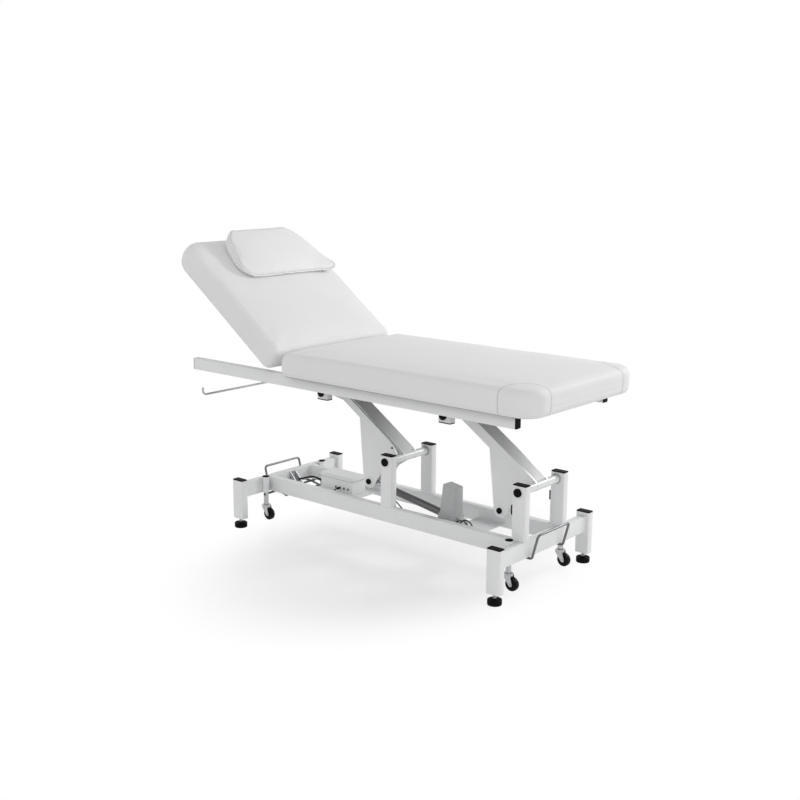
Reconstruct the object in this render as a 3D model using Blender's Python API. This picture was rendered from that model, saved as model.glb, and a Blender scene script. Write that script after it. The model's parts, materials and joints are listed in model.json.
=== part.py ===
"""Electric massage table: parallelogram lift, hinged backrest and foot-operated transport casters.

Metres, +Z up. The sizes are measured from the floor midway between the four legs, and the finished table is
moved so that the origin is on the floor under the middle of its box. +X runs to the foot end, and -Y is the
near side.
"""

import math

import bmesh
import bpy
from mathutils import Vector

# Clearances
CLEAR = 0.0003
RUN_CLEAR = 0.0005
WELD = 0.001
CUT_PAST = 0.010

# Base frame
LEG_SPAN_X = 1.2646
LEG_SPAN_Y = 0.561
LEG_DEPTH = 0.0545
LEG_WIDTH = 0.030
LEG_BOTTOM = 0.038
LEG_TOP = 0.1955
BEAM_WIDTH = 0.030
RAIL_WIDTH = 0.030
RAIL_HEIGHT = 0.060
RAIL_BOTTOM = 0.123
RAIL_SPACING = 0.239
TUBE_CORNER = 0.003
CAP_THICKNESS = 0.004
CAP_CHAMFER = 0.0012
CAP_SEAT = 0.0005

# Levelling feet
FOOT_RADIUS = 0.0255
FOOT_HEIGHT = 0.026
FOOT_ROUND = 0.004
FOOT_STEM_RADIUS = 0.006

# Posts and main pivots
HEAD_POST_X = 0.0184
POST_DEPTH = 0.0545
POST_TOP = 0.379
PIVOT_BEFORE_POST = 0.0045
PIVOT_FROM_TUBE_END = 0.0235
SHAFT_RADIUS = 0.008
SHAFT_HEAD_RADIUS = 0.0145
SHAFT_HEAD_THICKNESS = 0.006

# Lift arms, measured from the main pivot, with the ends of their arcs in degrees
ARM_TOP_X = -0.3285
ARM_TOP_Z = 0.220
ARM_LOW_X = -0.1425
ARM_LOW_Z = -0.116
ARM_BEAM_THICKNESS = 0.039
ARM_BEAM_SHORT = 0.009
ARM_WIDTH = 0.072
ARM_PLATE = 0.006
ARM_LOW_ROUND = 0.026
ARM_LOW_ROUND_FROM = 188.0
ARM_LOW_ROUND_TO = 324.0
ARM_HUB_ROUND = 0.0165
ARM_HUB_FROM = -115.0
ARM_HUB_TO = 60.0
ARM_KINK_ALONG = -0.221
ARM_LEFT_X = -0.173
ARM_LEFT_Z = -0.087
ARM_WAIST_X = -0.075
ARM_WAIST_Z = -0.058
OUTER_PLATE_GAP = 0.022
OUTER_PLATE_RIM = 0.0305
OUTER_PLATE_LOW = 0.004
OUTER_PLATE_KINK = -0.233
OUTER_PLATE_TAIL = -0.330
OUTER_PLATE_TAIL_ROUND = 0.022
OUTER_PLATE_BEND = 0.145
OUTER_PLATE_BEND_FROM = -0.083
OUTER_PLATE_BEND_TO = -0.017
OUTER_PLATE_HUB_TO = 100.0
OUTER_PLATE_TAIL_FROM = 75.0
OUTER_PLATE_TAIL_TO = 290.0
PIVOT_TUBE_RADIUS = 0.0155
BUSH_LENGTH = 0.004
PIN_HEAD_RADIUS = 0.0105
PIN_HEAD_THICKNESS = 0.005
PIN_BOSS_RADIUS = 0.0185
PIN_BOSS_HEIGHT = 0.002

# Top frame
SIDE_TUBE_WIDTH = 0.030
SIDE_TUBE_HEIGHT = 0.047
FRAME_WIDTH = 0.5764
FRAME_HEAD_X = -0.885
FRAME_FOOT_X = 0.701
BRACKET_DROP = 0.0431
CROSS_TUBE_DEPTH = 0.036

# Backrest hinge and frame
HINGE_X = -0.400
HINGE_BELOW_TUBE_TOP = 0.0156
HINGE_TUBE_RADIUS = 0.0125
BACKREST_ANGLE = math.radians(36.3)
KNUCKLE_RADIUS = 0.0153
KNUCKLE_LENGTH = 0.036
BACK_BAR_Y = 0.200
BACK_BAR_SIZE = 0.022
BACK_BAR_REACH = 0.520
STAY_CROSS_SIZE = 0.022
STAY_REACH = 0.200
STAY_LUG_THICKNESS = 0.005
STAY_LUG_GAP = 0.0145
STAY_LUG_ROUND = 0.012
STAY_LUG_FRONT_SHARE = 0.6
STAY_LUG_BACK_SHARE = 0.9
STAY_FOOT_BEHIND = 0.020
STAY_FOOT_BELOW = 0.060
STAY_EYE_RADIUS = 0.011
STAY_EYE_BELOW_BAR = 0.017
STAY_EYE_BORE = 0.0043
STAY_PIN_RADIUS = 0.004
STAY_SLEEVE_SIZE = 0.020
STAY_SLEEVE_LENGTH = 0.148
STAY_BAR_SIZE = 0.012
STAY_BAR_INSIDE = 0.115

# Cushions; a share is of the side's height, or of the draw-in
SEAT_HEAD_X = -0.346
SEAT_FOOT_X = 0.800
CUSHION_HALF_WIDTH = 0.338
CUSHION_SIDE = 0.092
CUSHION_CROWN = 0.013
CUSHION_EDGE = 0.026
CUSHION_DRAW_IN = 0.013
TUCK_SHARE = 0.35
TUCK_HEIGHT_SHARE = 0.12
BULGE_FROM_SHARE = 0.36
BULGE_TO_SHARE = 0.55
CROWN_CORE_SHARE = 0.90
LEAST_CORNER = 0.012
SEAT_HEAD_ROUND = 0.030
SEAT_FOOT_ROUND = 0.085
BACK_START = 0.022
BACK_LENGTH = 0.686
BACK_FOOT_ROUND = 0.032
BACK_HEAD_ROUND = 0.105
BACK_HEAD_EASE = 0.055
BACK_HEAD_EASE_HEIGHT = 0.072
BACK_SIDE = 0.097
PILLOW_FROM_HEAD = 0.063
PILLOW_LENGTH = 0.240
PILLOW_FOOT_HALF_WIDTH = 0.262
PILLOW_HEAD_HALF_WIDTH = 0.172
PILLOW_FOOT_SHIFT = 0.039
PILLOW_HEAD_SHIFT = 0.005
PILLOW_HEAD_SIDE = 0.062
PILLOW_FOOT_SIDE = 0.036
PILLOW_CROWN = 0.008
PILLOW_EDGE = 0.020
PILLOW_DRAW_IN = 0.012
PILLOW_ROUND = 0.055

# Paper-roll rod
PAPER_ROD_X = -0.860
PAPER_ROD_RADIUS = 0.0045
PAPER_ROD_DROP = 0.106
PAPER_ROD_HOOK = 0.030
PAPER_ROD_NEAR_Y = -0.268
PAPER_ROD_BEND = 0.018

# Actuator
ACT_REAR_X = 0.318
ACT_REAR_Z = 0.165
ACT_TUBE_RADIUS = 0.0145
ACT_TUBE_TO = 0.328
ACT_BORE_FROM = 0.100
ACT_ROD_RADIUS = 0.009
ACT_ROD_INSIDE = 0.138
ACT_EYE_RADIUS = 0.016
ACT_EYE_WIDTH = 0.020
ACT_EYE_BORE = 0.0085
ACT_MOTOR_AT = 0.058
ACT_MOTOR_BASE = 0.066
ACT_MOTOR_TOP = 0.058
ACT_MOTOR_HEIGHT = 0.121
ACT_MOTOR_NARROWER = 0.005
ACT_MOTOR_LEAN = 0.012
ACT_MOTOR_ROUND = 0.006
ACT_FOOT_BASE = 0.074
ACT_FOOT_TOP = 0.012
ACT_FOOT_BELOW = 0.020
ACT_LUG_WIDTH = 0.020
ACT_LUG_RADIUS = 0.013
ACT_PIN_RADIUS = 0.005
ACT_PIN_OVERREACH = 0.003
ACT_CLEVIS_THICKNESS = 0.005
ACT_CLEVIS_WIDTH = 0.032
ACT_PLATE_FROM_X = 0.276
ACT_PLATE_TO_X = 0.396
ACT_PLATE_Z = 0.138
PLATE_THICKNESS = 0.004

# Control box on its shelf
BOX_FROM_BEAM = 0.2973
BOX_Y = 0.009
BOX_LENGTH = 0.174
BOX_WIDTH = 0.084
BOX_HEIGHT = 0.054
LID_HEIGHT = 0.015
LID_OVERHANG = 0.002
LID_BEVEL = 0.0045
BOX_ROUND = 0.008
SHELF_FROM_BEAM = 0.1873
SHELF_LENGTH = 0.233
SHELF_Z = 0.1475
SOCKET_LENGTH = 0.014
SOCKET_WIDTH = 0.024
SOCKET_HEIGHT = 0.018

# Casters and their pedals, with the ends of the fork's arc in degrees
GUIDE_INSET_X = 0.0272
GUIDE_INSET_Y = 0.1161
GUIDE_RADIUS = 0.0135
GUIDE_BOTTOM = 0.1265
GUIDE_TOP = 0.1915
GUIDE_CROWN = 0.006
STEM_RADIUS = 0.010
STEM_BOTTOM = 0.0745
STEM_TOP = 0.180
STEM_SLOT_HALF = 0.0062
CASTER_TRAIL = 0.017
WHEEL_RADIUS = 0.025
WHEEL_WIDTH = 0.019
WHEEL_Z = 0.037
WHEEL_ROUND = 0.004
HUB_RADIUS = 0.012
HUB_STEP = 0.0015
AXLE_RADIUS = 0.003
FORK_PLATE = 0.0025
FORK_CROWN_RADIUS = 0.0165
FORK_CROWN_BOTTOM = 0.0645
FORK_TIP_RADIUS = 0.0075
FORK_TIP_FROM = 210.0
FORK_TIP_TO = 385.0
FORK_SHOULDER = 0.014
PEDAL_ROD_RADIUS = 0.0045
PEDAL_HALF_WIDTH = 0.098
PEDAL_TOP_OUT = 0.0327
PEDAL_TOP_Z = 0.207
PEDAL_BEND = 0.012
PEDAL_BAR_BELOW_RAIL = 0.0055
PEDAL_LEVER = 0.050
PEDAL_LEVER_PAST = 0.0018
PEDAL_PIVOT_DROP = 0.0105
PEDAL_BAR_OVERREACH = 0.004
LUG_RADIUS = 0.009
BRACKET_HALF = 0.0175
BRACKET_PLATE = 0.005
BRACKET_LIFT = 0.004
BRACKET_NOTCH = 0.015

# Facets
ROUND_SIDES = 20
ROD_SIDES = 10
CORNER_STEPS = 2
BEND_STEPS = 4
LUG_STEPS = 8
PLAN_CORNER_STEPS = 6
PLAN_LONG_STEPS = 7
PLAN_SHORT_STEPS = 5
EDGE_STEPS = 5
CROWN_STEPS = 5
SMOOTH_ANGLE = math.radians(32)

# Values worked out from the sizes above
BEAM_X = LEG_SPAN_X / 2
LEG_Y = LEG_SPAN_Y / 2
RAIL_Y = RAIL_SPACING / 2
RAIL_TOP = RAIL_BOTTOM + RAIL_HEIGHT
FOOT_POST_X = BEAM_X + BEAM_WIDTH / 2 - POST_DEPTH / 2
PIVOT_Z = POST_TOP - PIVOT_FROM_TUBE_END
FRAME_BOTTOM = PIVOT_Z + ARM_TOP_Z + BRACKET_DROP
FRAME_TOP = FRAME_BOTTOM + SIDE_TUBE_HEIGHT
SIDE_TUBE_Y = FRAME_WIDTH / 2 - SIDE_TUBE_WIDTH / 2
HINGE_Z = FRAME_TOP - HINGE_BELOW_TUBE_TOP
GUIDE_X = BEAM_X - GUIDE_INSET_X
GUIDE_Y = LEG_Y - GUIDE_INSET_Y
PEDAL_BAR_Z = RAIL_BOTTOM - PEDAL_BAR_BELOW_RAIL
PEDAL_PIVOT_X = GUIDE_X - PEDAL_LEVER
PEDAL_PIVOT_Z = PEDAL_BAR_Z - PEDAL_PIVOT_DROP
ARM_SLOPE = math.atan2(ARM_TOP_Z, -ARM_TOP_X)
ARM_SPAN = math.hypot(ARM_TOP_X, ARM_TOP_Z)
ARM_SIDE = ARM_WIDTH / 2
ACT_Y = -ARM_SIDE - OUTER_PLATE_GAP / 2
POST_INNER_Y = RAIL_Y - RAIL_WIDTH / 2
POST_OUTER_Y = RAIL_Y + RAIL_WIDTH / 2
BOX_X = BOX_FROM_BEAM - BEAM_X
SHELF_FROM_X = SHELF_FROM_BEAM - BEAM_X
PILLOW_START = BACK_START + BACK_LENGTH - PILLOW_FROM_HEAD - PILLOW_LENGTH
ENDS = {"head": -1, "foot": 1}
SIDES = {"near": -1, "far": 1}

WHITE_PAINT = ("white_paint", (0.83, 0.84, 0.84), 0.38, 0.0)
BLACK_PLASTIC = ("black_plastic", (0.018, 0.018, 0.019), 0.45, 0.0)
ZINC = ("zinc", (0.62, 0.64, 0.65), 0.32, 0.9)
GREY_STEEL = ("grey_steel", (0.42, 0.43, 0.44), 0.35, 0.8)
GREY_PLASTIC = ("grey_plastic", (0.40, 0.41, 0.42), 0.5, 0.0)
DARK_STEEL = ("dark_steel", (0.10, 0.10, 0.11), 0.4, 0.5)
LIGHT_PLASTIC = ("light_plastic", (0.78, 0.79, 0.79), 0.45, 0.0)
LEATHERETTE = ("leatherette", (0.86, 0.86, 0.86), 0.5, 0.0)


def clear_scene():
    """Remove whatever the open file holds."""
    for item in list(bpy.data.objects):
        bpy.data.objects.remove(item, do_unlink=True)


def finish(name, look):
    """Return a new material for one piece."""
    slot, colour, roughness, metallic = look
    made = bpy.data.materials.new(f"{name}_{slot}")
    made.use_nodes = True
    shader = made.node_tree.nodes["Principled BSDF"]
    shader.inputs["Base Color"].default_value = (*colour, 1.0)
    shader.inputs["Roughness"].default_value = roughness
    shader.inputs["Metallic"].default_value = metallic
    return made


def pivot(name, location, parent=None, turn_y=0.0):
    """Return an empty on a joint's axis; location is measured from the parent's own axes."""
    empty = bpy.data.objects.new(name, None)
    bpy.context.scene.collection.objects.link(empty)
    empty.location = location
    empty.rotation_euler = (0.0, turn_y, 0.0)
    empty.parent = parent
    return empty


def solid(name, shape, look, parent, location=(0.0, 0.0, 0.0), turn_y=0.0):
    """Link one closed shape as an object under its parent."""
    verts, faces = shape
    mesh = bpy.data.meshes.new(name)
    mesh.from_pydata(verts, [], faces)
    draft = bmesh.new()
    draft.from_mesh(mesh)
    bmesh.ops.recalc_face_normals(draft, faces=draft.faces)
    draft.to_mesh(mesh)
    draft.free()
    mesh.shade_smooth()
    mesh.set_sharp_from_angle(angle=SMOOTH_ANGLE)
    made = bpy.data.objects.new(name, mesh)
    bpy.context.scene.collection.objects.link(made)
    made.location = location
    made.rotation_euler = (0.0, turn_y, 0.0)
    made.parent = parent
    if look is not None:
        mesh.materials.append(finish(name, look))
    return made


def combine(body, operation, shapes, location=(0.0, 0.0, 0.0), turn_y=0.0):
    """Join shapes to a solid or cut them from it, with hidden tools under the same parent."""
    for number, shape in enumerate(shapes):
        tool = solid(f"{body.name}_{operation.lower()}_{number}", shape, None, body.parent, location, turn_y)
        tool.hide_render = True
        tool.display_type = "WIRE"
        step = body.modifiers.new(f"{operation} {number}", "BOOLEAN")
        step.operation = operation
        step.object = tool
        step.solver = "EXACT"
    return body


def prism(outline, low, high, axis):
    """Extrude a closed outline along an axis; X takes (y, z), Y takes (x, z) and Z takes (x, y)."""
    place = {
        "X": lambda a, b, c: (c, a, b),
        "Y": lambda a, b, c: (a, c, b),
        "Z": lambda a, b, c: (a, b, c),
    }[axis]
    count = len(outline)
    verts = [place(a, b, low) for a, b in outline]
    verts += [place(a, b, high) for a, b in outline]
    faces = [tuple(range(count)), tuple(range(count, 2 * count))]
    for i in range(count):
        j = (i + 1) % count
        faces.append((i, j, count + j, count + i))
    return verts, faces


def loft(sections):
    """Skin a row of outlines that have equal numbers of points, and close both ends."""
    count = len(sections[0])
    verts = [point for section in sections for point in section]
    last = (len(sections) - 1) * count
    faces = [tuple(range(count)), tuple(range(last, last + count))]
    for row in range(len(sections) - 1):
        for i in range(count):
            j = (i + 1) % count
            low = row * count
            high = low + count
            faces.append((low + i, low + j, high + j, high + i))
    return verts, faces


def arc(centre, radius, start, end, steps):
    """Points of an arc in degrees, both ends included."""
    points = []
    for i in range(steps + 1):
        angle = math.radians(start + (end - start) * i / steps)
        points.append((centre[0] + radius * math.cos(angle), centre[1] + radius * math.sin(angle)))
    return points


def circle(centre, radius, sides=ROUND_SIDES):
    """Points of a full circle."""
    return arc(centre, radius, 0.0, 360.0, sides)[:-1]


def rounded_rectangle(width, height, radius, centre=(0.0, 0.0), steps=CORNER_STEPS):
    """Outline of a rectangle with round corners."""
    half_w = width / 2 - radius
    half_h = height / 2 - radius
    points = []
    for turn, (sx, sy) in enumerate(((1, 1), (-1, 1), (-1, -1), (1, -1))):
        corner = (centre[0] + sx * half_w, centre[1] + sy * half_h)
        points += arc(corner, radius, 90.0 * turn, 90.0 * (turn + 1), steps)
    return points


def box(size, centre):
    """Plain block."""
    outline = [
        (centre[0] - size[0] / 2, centre[1] - size[1] / 2),
        (centre[0] + size[0] / 2, centre[1] - size[1] / 2),
        (centre[0] + size[0] / 2, centre[1] + size[1] / 2),
        (centre[0] - size[0] / 2, centre[1] + size[1] / 2),
    ]
    return prism(outline, centre[2] - size[2] / 2, centre[2] + size[2] / 2, "Z")


def cylinder(centre, radius, low, high, axis, sides=ROUND_SIDES):
    """Round bar between two heights along an axis."""
    return prism(circle(centre, radius, sides), low, high, axis)


def turned(profile, sides=ROUND_SIDES):
    """Revolve (radius, height) pairs about Z; both ends are closed."""
    sections = []
    for radius, height in profile:
        sections.append([(x, y, height) for x, y in circle((0.0, 0.0), radius, sides)])
    return loft(sections)


def rounded_path(points, radius, steps=BEND_STEPS):
    """Replace the inner corners of a polyline by arcs."""
    route = [Vector(p) for p in points]
    path = [route[0]]
    for before, corner, after in zip(route, route[1:], route[2:]):
        into = (before - corner).normalized()
        out = (after - corner).normalized()
        half = into.angle(out) / 2
        reach = radius / math.tan(half)
        centre = corner + (into + out).normalized() * (radius / math.sin(half))
        start = (corner + into * reach - centre).normalized()
        end = (corner + out * reach - centre).normalized()
        for i in range(steps + 1):
            path.append(centre + start.slerp(end, i / steps) * radius)
    path.append(route[-1])
    return path


def rod(points, radius, bend=0.0, sides=ROD_SIDES):
    """Round bar along a route."""
    path = rounded_path(points, bend) if bend else [Vector(p) for p in points]
    first = (path[1] - path[0]).normalized()
    side = first.orthogonal().normalized()
    sections = []
    for i, point in enumerate(path):
        ahead = (path[min(i + 1, len(path) - 1)] - point).normalized()
        back = (point - path[max(i - 1, 0)]).normalized()
        along = (ahead + back).normalized()
        side = (side - along * side.dot(along)).normalized()
        up = along.cross(side)
        ring = [point + side * x + up * y for x, y in circle((0.0, 0.0), radius, sides)]
        sections.append([tuple(p) for p in ring])
    return loft(sections)


def cushion_plan(x_low, x_high, half_width, round_low, round_high, inset):
    """Outline of a cushion seen from above, drawn in by inset, with as many points for any inset."""
    corners = []
    for x, y, radius, turn in (
        (x_high, half_width, round_high, 0),
        (x_low, half_width, round_low, 1),
        (x_low, -half_width, round_low, 2),
        (x_high, -half_width, round_high, 3),
    ):
        r = max(radius - inset, LEAST_CORNER)
        sx = 1 if x == x_high else -1
        sy = 1 if y > 0 else -1
        centre = (x - sx * (inset + r), y - sy * (inset + r))
        corners.append(arc(centre, r, 90.0 * turn, 90.0 * (turn + 1), PLAN_CORNER_STEPS))
    points = []
    for i, run in enumerate(corners):
        points += run
        ahead = corners[(i + 1) % len(corners)][0]
        steps = PLAN_LONG_STEPS if i % 2 == 0 else PLAN_SHORT_STEPS
        for k in range(1, steps):
            share = k / steps
            points.append(tuple(a + (b - a) * share for a, b in zip(run[-1], ahead)))
    return points


def cushion(x_low, x_high, half_width, round_low, round_high, side, crown, edge, draw_in, ease=(0.0, 1.0)):
    """Upholstered slab on a board: sides drawn in below, rounded top edge and crowned top.

    The ease rounds the low end further, by a length along the cushion and a height down from its top edge.
    """
    reach, drop = ease
    profile = [
        (draw_in, 0.0),
        (draw_in * TUCK_SHARE, side * TUCK_HEIGHT_SHARE),
        (0.0, side * BULGE_FROM_SHARE),
        (0.0, side * BULGE_TO_SHARE),
    ]
    for step in range(EDGE_STEPS + 1):
        angle = math.radians(90.0 * step / EDGE_STEPS)
        profile.append((edge * (1 - math.cos(angle)), side - edge + edge * math.sin(angle)))
    shifts = []
    for _, height in profile:
        climb = max(0.0, 1 - (side - height) / drop)
        shifts.append(reach * (1 - math.sqrt(1 - climb ** 2)))
    core = min(half_width, (x_high - x_low) / 2) * CROWN_CORE_SHARE
    for step in range(1, CROWN_STEPS + 1):
        share = step / CROWN_STEPS
        inset = edge + (core - edge) * share
        profile.append((inset, side + crown * (1 - (1 - share) ** 2)))
        shifts.append(reach * (1 - share))
    sections = []
    for (inset, height), shift in zip(profile, shifts):
        plan = cushion_plan(x_low + shift, x_high, half_width, round_low, round_high, inset)
        sections.append([(x, y, height) for x, y in plan])
    return loft(sections)


def make_base(base):
    """Base frame: end beams with welded guide tubes and pedal brackets, rails, legs, feet and posts."""
    beam_half = LEG_Y - LEG_WIDTH / 2 - CLEAR
    for end, x_sign in ENDS.items():
        beam_x = x_sign * BEAM_X
        middle = (beam_x, RAIL_BOTTOM + RAIL_HEIGHT / 2)
        profile = rounded_rectangle(BEAM_WIDTH, RAIL_HEIGHT, TUBE_CORNER, middle)
        beam = solid(f"{end}_beam", prism(profile, -beam_half, beam_half, "Y"), WHITE_PAINT, base)
        welded = []
        bores = []
        for y_sign in SIDES.values():
            centre = (x_sign * GUIDE_X, y_sign * GUIDE_Y)
            welded.append(cylinder(centre, GUIDE_RADIUS, GUIDE_BOTTOM, GUIDE_TOP, "Z"))
            bore_top = GUIDE_TOP - GUIDE_CROWN
            bores.append(cylinder(centre, STEM_RADIUS + RUN_CLEAR, GUIDE_BOTTOM - CUT_PAST, bore_top, "Z"))
        for y_sign in SIDES.values():
            first, last = sorted((y_sign * BRACKET_HALF, y_sign * (BRACKET_HALF - BRACKET_PLATE)))
            welded.append(prism(pedal_bracket(x_sign), first, last, "Y"))
        pin = (x_sign * PEDAL_PIVOT_X, PEDAL_PIVOT_Z)
        pin_reach = BRACKET_HALF + CUT_PAST
        bores.append(cylinder(pin, PEDAL_ROD_RADIUS + RUN_CLEAR, -pin_reach, pin_reach, "Y", ROD_SIDES))
        combine(beam, "UNION", welded)
        combine(beam, "DIFFERENCE", bores)
        for side, y_sign in SIDES.items():
            make_leg(base, end, side, beam_x, y_sign * LEG_Y)
    rail_half = BEAM_X - BEAM_WIDTH / 2 - CLEAR
    for side, y_sign in SIDES.items():
        middle = (y_sign * RAIL_Y, RAIL_BOTTOM + RAIL_HEIGHT / 2)
        profile = rounded_rectangle(RAIL_WIDTH, RAIL_HEIGHT, TUBE_CORNER, middle)
        solid(f"{side}_rail", prism(profile, -rail_half, rail_half, "X"), WHITE_PAINT, base)
        for end, post_x in (("head", HEAD_POST_X), ("foot", FOOT_POST_X)):
            make_post(base, end, side, post_x, y_sign * RAIL_Y)


def make_leg(base, end, side, x, y):
    """One leg with its cap and levelling foot."""
    outline = rounded_rectangle(LEG_DEPTH, LEG_WIDTH, TUBE_CORNER, (x, y))
    solid(f"{end}_{side}_leg", prism(outline, LEG_BOTTOM, LEG_TOP, "Z"), WHITE_PAINT, base)
    cap = cap_shape(LEG_DEPTH, LEG_WIDTH, (x, y), LEG_TOP + CLEAR, 1)
    solid(f"{end}_{side}_leg_cap", cap, BLACK_PLASTIC, base)
    profile = [
        (FOOT_RADIUS - FOOT_ROUND / 2, 0.0),
        (FOOT_RADIUS, FOOT_ROUND / 2),
        (FOOT_RADIUS, FOOT_HEIGHT - FOOT_ROUND),
        (FOOT_RADIUS - FOOT_ROUND, FOOT_HEIGHT),
        (FOOT_STEM_RADIUS * 2, FOOT_HEIGHT),
        (FOOT_STEM_RADIUS * 2, FOOT_HEIGHT + FOOT_ROUND),
        (FOOT_STEM_RADIUS, FOOT_HEIGHT + FOOT_ROUND),
        (FOOT_STEM_RADIUS, LEG_BOTTOM - CLEAR),
    ]
    turn = pivot(f"{end}_{side}_foot_axis", (x, y, 0.0), base)
    solid(f"{end}_{side}_levelling_foot", turned(profile), BLACK_PLASTIC, turn)


def cap_shape(depth, width, centre, height, way):
    """Flat plastic cap over a tube's end, growing up or down from a height, with a chamfered edge."""
    sections = []
    for rise, inset in ((0.0, 0.0), (CAP_THICKNESS - CAP_CHAMFER, 0.0), (CAP_THICKNESS, CAP_CHAMFER)):
        outline = rounded_rectangle(depth - 2 * inset, width - 2 * inset, TUBE_CORNER, centre)
        sections.append([(x, y, height + way * rise) for x, y in outline])
    return loft(sections)


def pedal_bracket(x_sign):
    """Outline of a plate on an end beam's inner face that holds the pedal's pivot rod below and inside it."""
    beam_face = BEAM_X - BEAM_WIDTH / 2 + WELD
    outline = [
        (beam_face, RAIL_TOP - TUBE_CORNER),
        (beam_face, RAIL_BOTTOM + BRACKET_LIFT),
        (GUIDE_X - BRACKET_NOTCH, RAIL_BOTTOM + BRACKET_LIFT),
    ]
    outline += arc((PEDAL_PIVOT_X, PEDAL_PIVOT_Z), LUG_RADIUS, 0.0, -180.0, LUG_STEPS)
    return [(x_sign * x, z) for x, z in outline]


def make_post(base, end, side, x, y):
    """Upright that carries one end of a main pivot shaft."""
    outline = rounded_rectangle(POST_DEPTH, RAIL_WIDTH, TUBE_CORNER, (x, y))
    post = solid(f"{end}_{side}_post", prism(outline, RAIL_TOP + CLEAR, POST_TOP, "Z"), WHITE_PAINT, base)
    centre = (x - PIVOT_BEFORE_POST, PIVOT_Z)
    hole = cylinder(centre, SHAFT_RADIUS + CLEAR, y - RAIL_WIDTH, y + RAIL_WIDTH, "Y")
    combine(post, "DIFFERENCE", [hole])
    cap = cap_shape(POST_DEPTH, RAIL_WIDTH, (x, y), POST_TOP + CLEAR, 1)
    solid(f"{end}_{side}_post_cap", cap, BLACK_PLASTIC, base)


def shaft_heads(centre, clearance):
    """Round bolt heads outside the two tubes that a pivot shaft passes through."""
    heads = []
    reach = POST_OUTER_Y + clearance
    for y_sign in SIDES.values():
        low, high = sorted((y_sign * reach, y_sign * (reach + SHAFT_HEAD_THICKNESS)))
        heads.append(cylinder(centre, SHAFT_HEAD_RADIUS, low, high, "Y"))
    return heads


def make_shaft(base, number, x):
    """Main pivot shaft through two posts, with round heads outside."""
    reach = POST_OUTER_Y + CLEAR + WELD
    bar = cylinder((x, PIVOT_Z), SHAFT_RADIUS, -reach, reach, "Y")
    shaft = solid(f"arm_{number}_pivot_shaft", bar, BLACK_PLASTIC, base)
    combine(shaft, "UNION", shaft_heads((x, PIVOT_Z), CLEAR))


def arm_point(along, across):
    """Point of the arm's side view, from distances along its beam and across it."""
    cos = math.cos(ARM_SLOPE)
    sin = math.sin(ARM_SLOPE)
    return along * cos + across * sin, across * cos - along * sin


def arm_lower_edge():
    """Side plate's edge from its left side round the lower bolt and up to the waist before the main pivot."""
    edge = [(ARM_LEFT_X, ARM_LEFT_Z)]
    edge += arc((ARM_LOW_X, ARM_LOW_Z), ARM_LOW_ROUND, ARM_LOW_ROUND_FROM, ARM_LOW_ROUND_TO, LUG_STEPS)
    edge.append((ARM_WAIST_X, ARM_WAIST_Z))
    return edge


def arm_plate():
    """Side plate's outline: bell crank along the beam and down to the lower bolt."""
    slope = math.degrees(ARM_SLOPE)
    half = ARM_BEAM_THICKNESS / 2
    outline = [arm_point(ARM_KINK_ALONG, -half)]
    outline += arm_lower_edge()
    outline += arc((0.0, 0.0), ARM_HUB_ROUND, ARM_HUB_FROM, ARM_HUB_TO, LUG_STEPS)
    outline.append(arm_point(-ARM_BEAM_SHORT, half))
    outline += arc((ARM_TOP_X, ARM_TOP_Z), half, 90.0 - slope, 270.0 - slope, LUG_STEPS)
    return outline


def arm_outer_plate():
    """Outline of the head arm's outer plate: its rim stands above the beam and bends down to the pivot."""
    slope = math.degrees(ARM_SLOPE)
    outline = [arm_point(OUTER_PLATE_TAIL, OUTER_PLATE_LOW), arm_point(OUTER_PLATE_KINK, OUTER_PLATE_LOW)]
    outline += arm_lower_edge()
    outline += arc((0.0, 0.0), ARM_HUB_ROUND, ARM_HUB_FROM, OUTER_PLATE_HUB_TO, LUG_STEPS)
    for step in range(BEND_STEPS + 1):
        along = OUTER_PLATE_BEND_TO + (OUTER_PLATE_BEND_FROM - OUTER_PLATE_BEND_TO) * step / BEND_STEPS
        fall = OUTER_PLATE_BEND - math.sqrt(OUTER_PLATE_BEND ** 2 - (along - OUTER_PLATE_BEND_FROM) ** 2)
        outline.append(arm_point(along, OUTER_PLATE_RIM - fall))
    outline.append(arm_point(OUTER_PLATE_TAIL, OUTER_PLATE_RIM))
    tail = (OUTER_PLATE_TAIL_FROM - slope, OUTER_PLATE_TAIL_TO - slope)
    outline += arc((ARM_TOP_X, ARM_TOP_Z), OUTER_PLATE_TAIL_ROUND, *tail, LUG_STEPS)
    return outline


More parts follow.
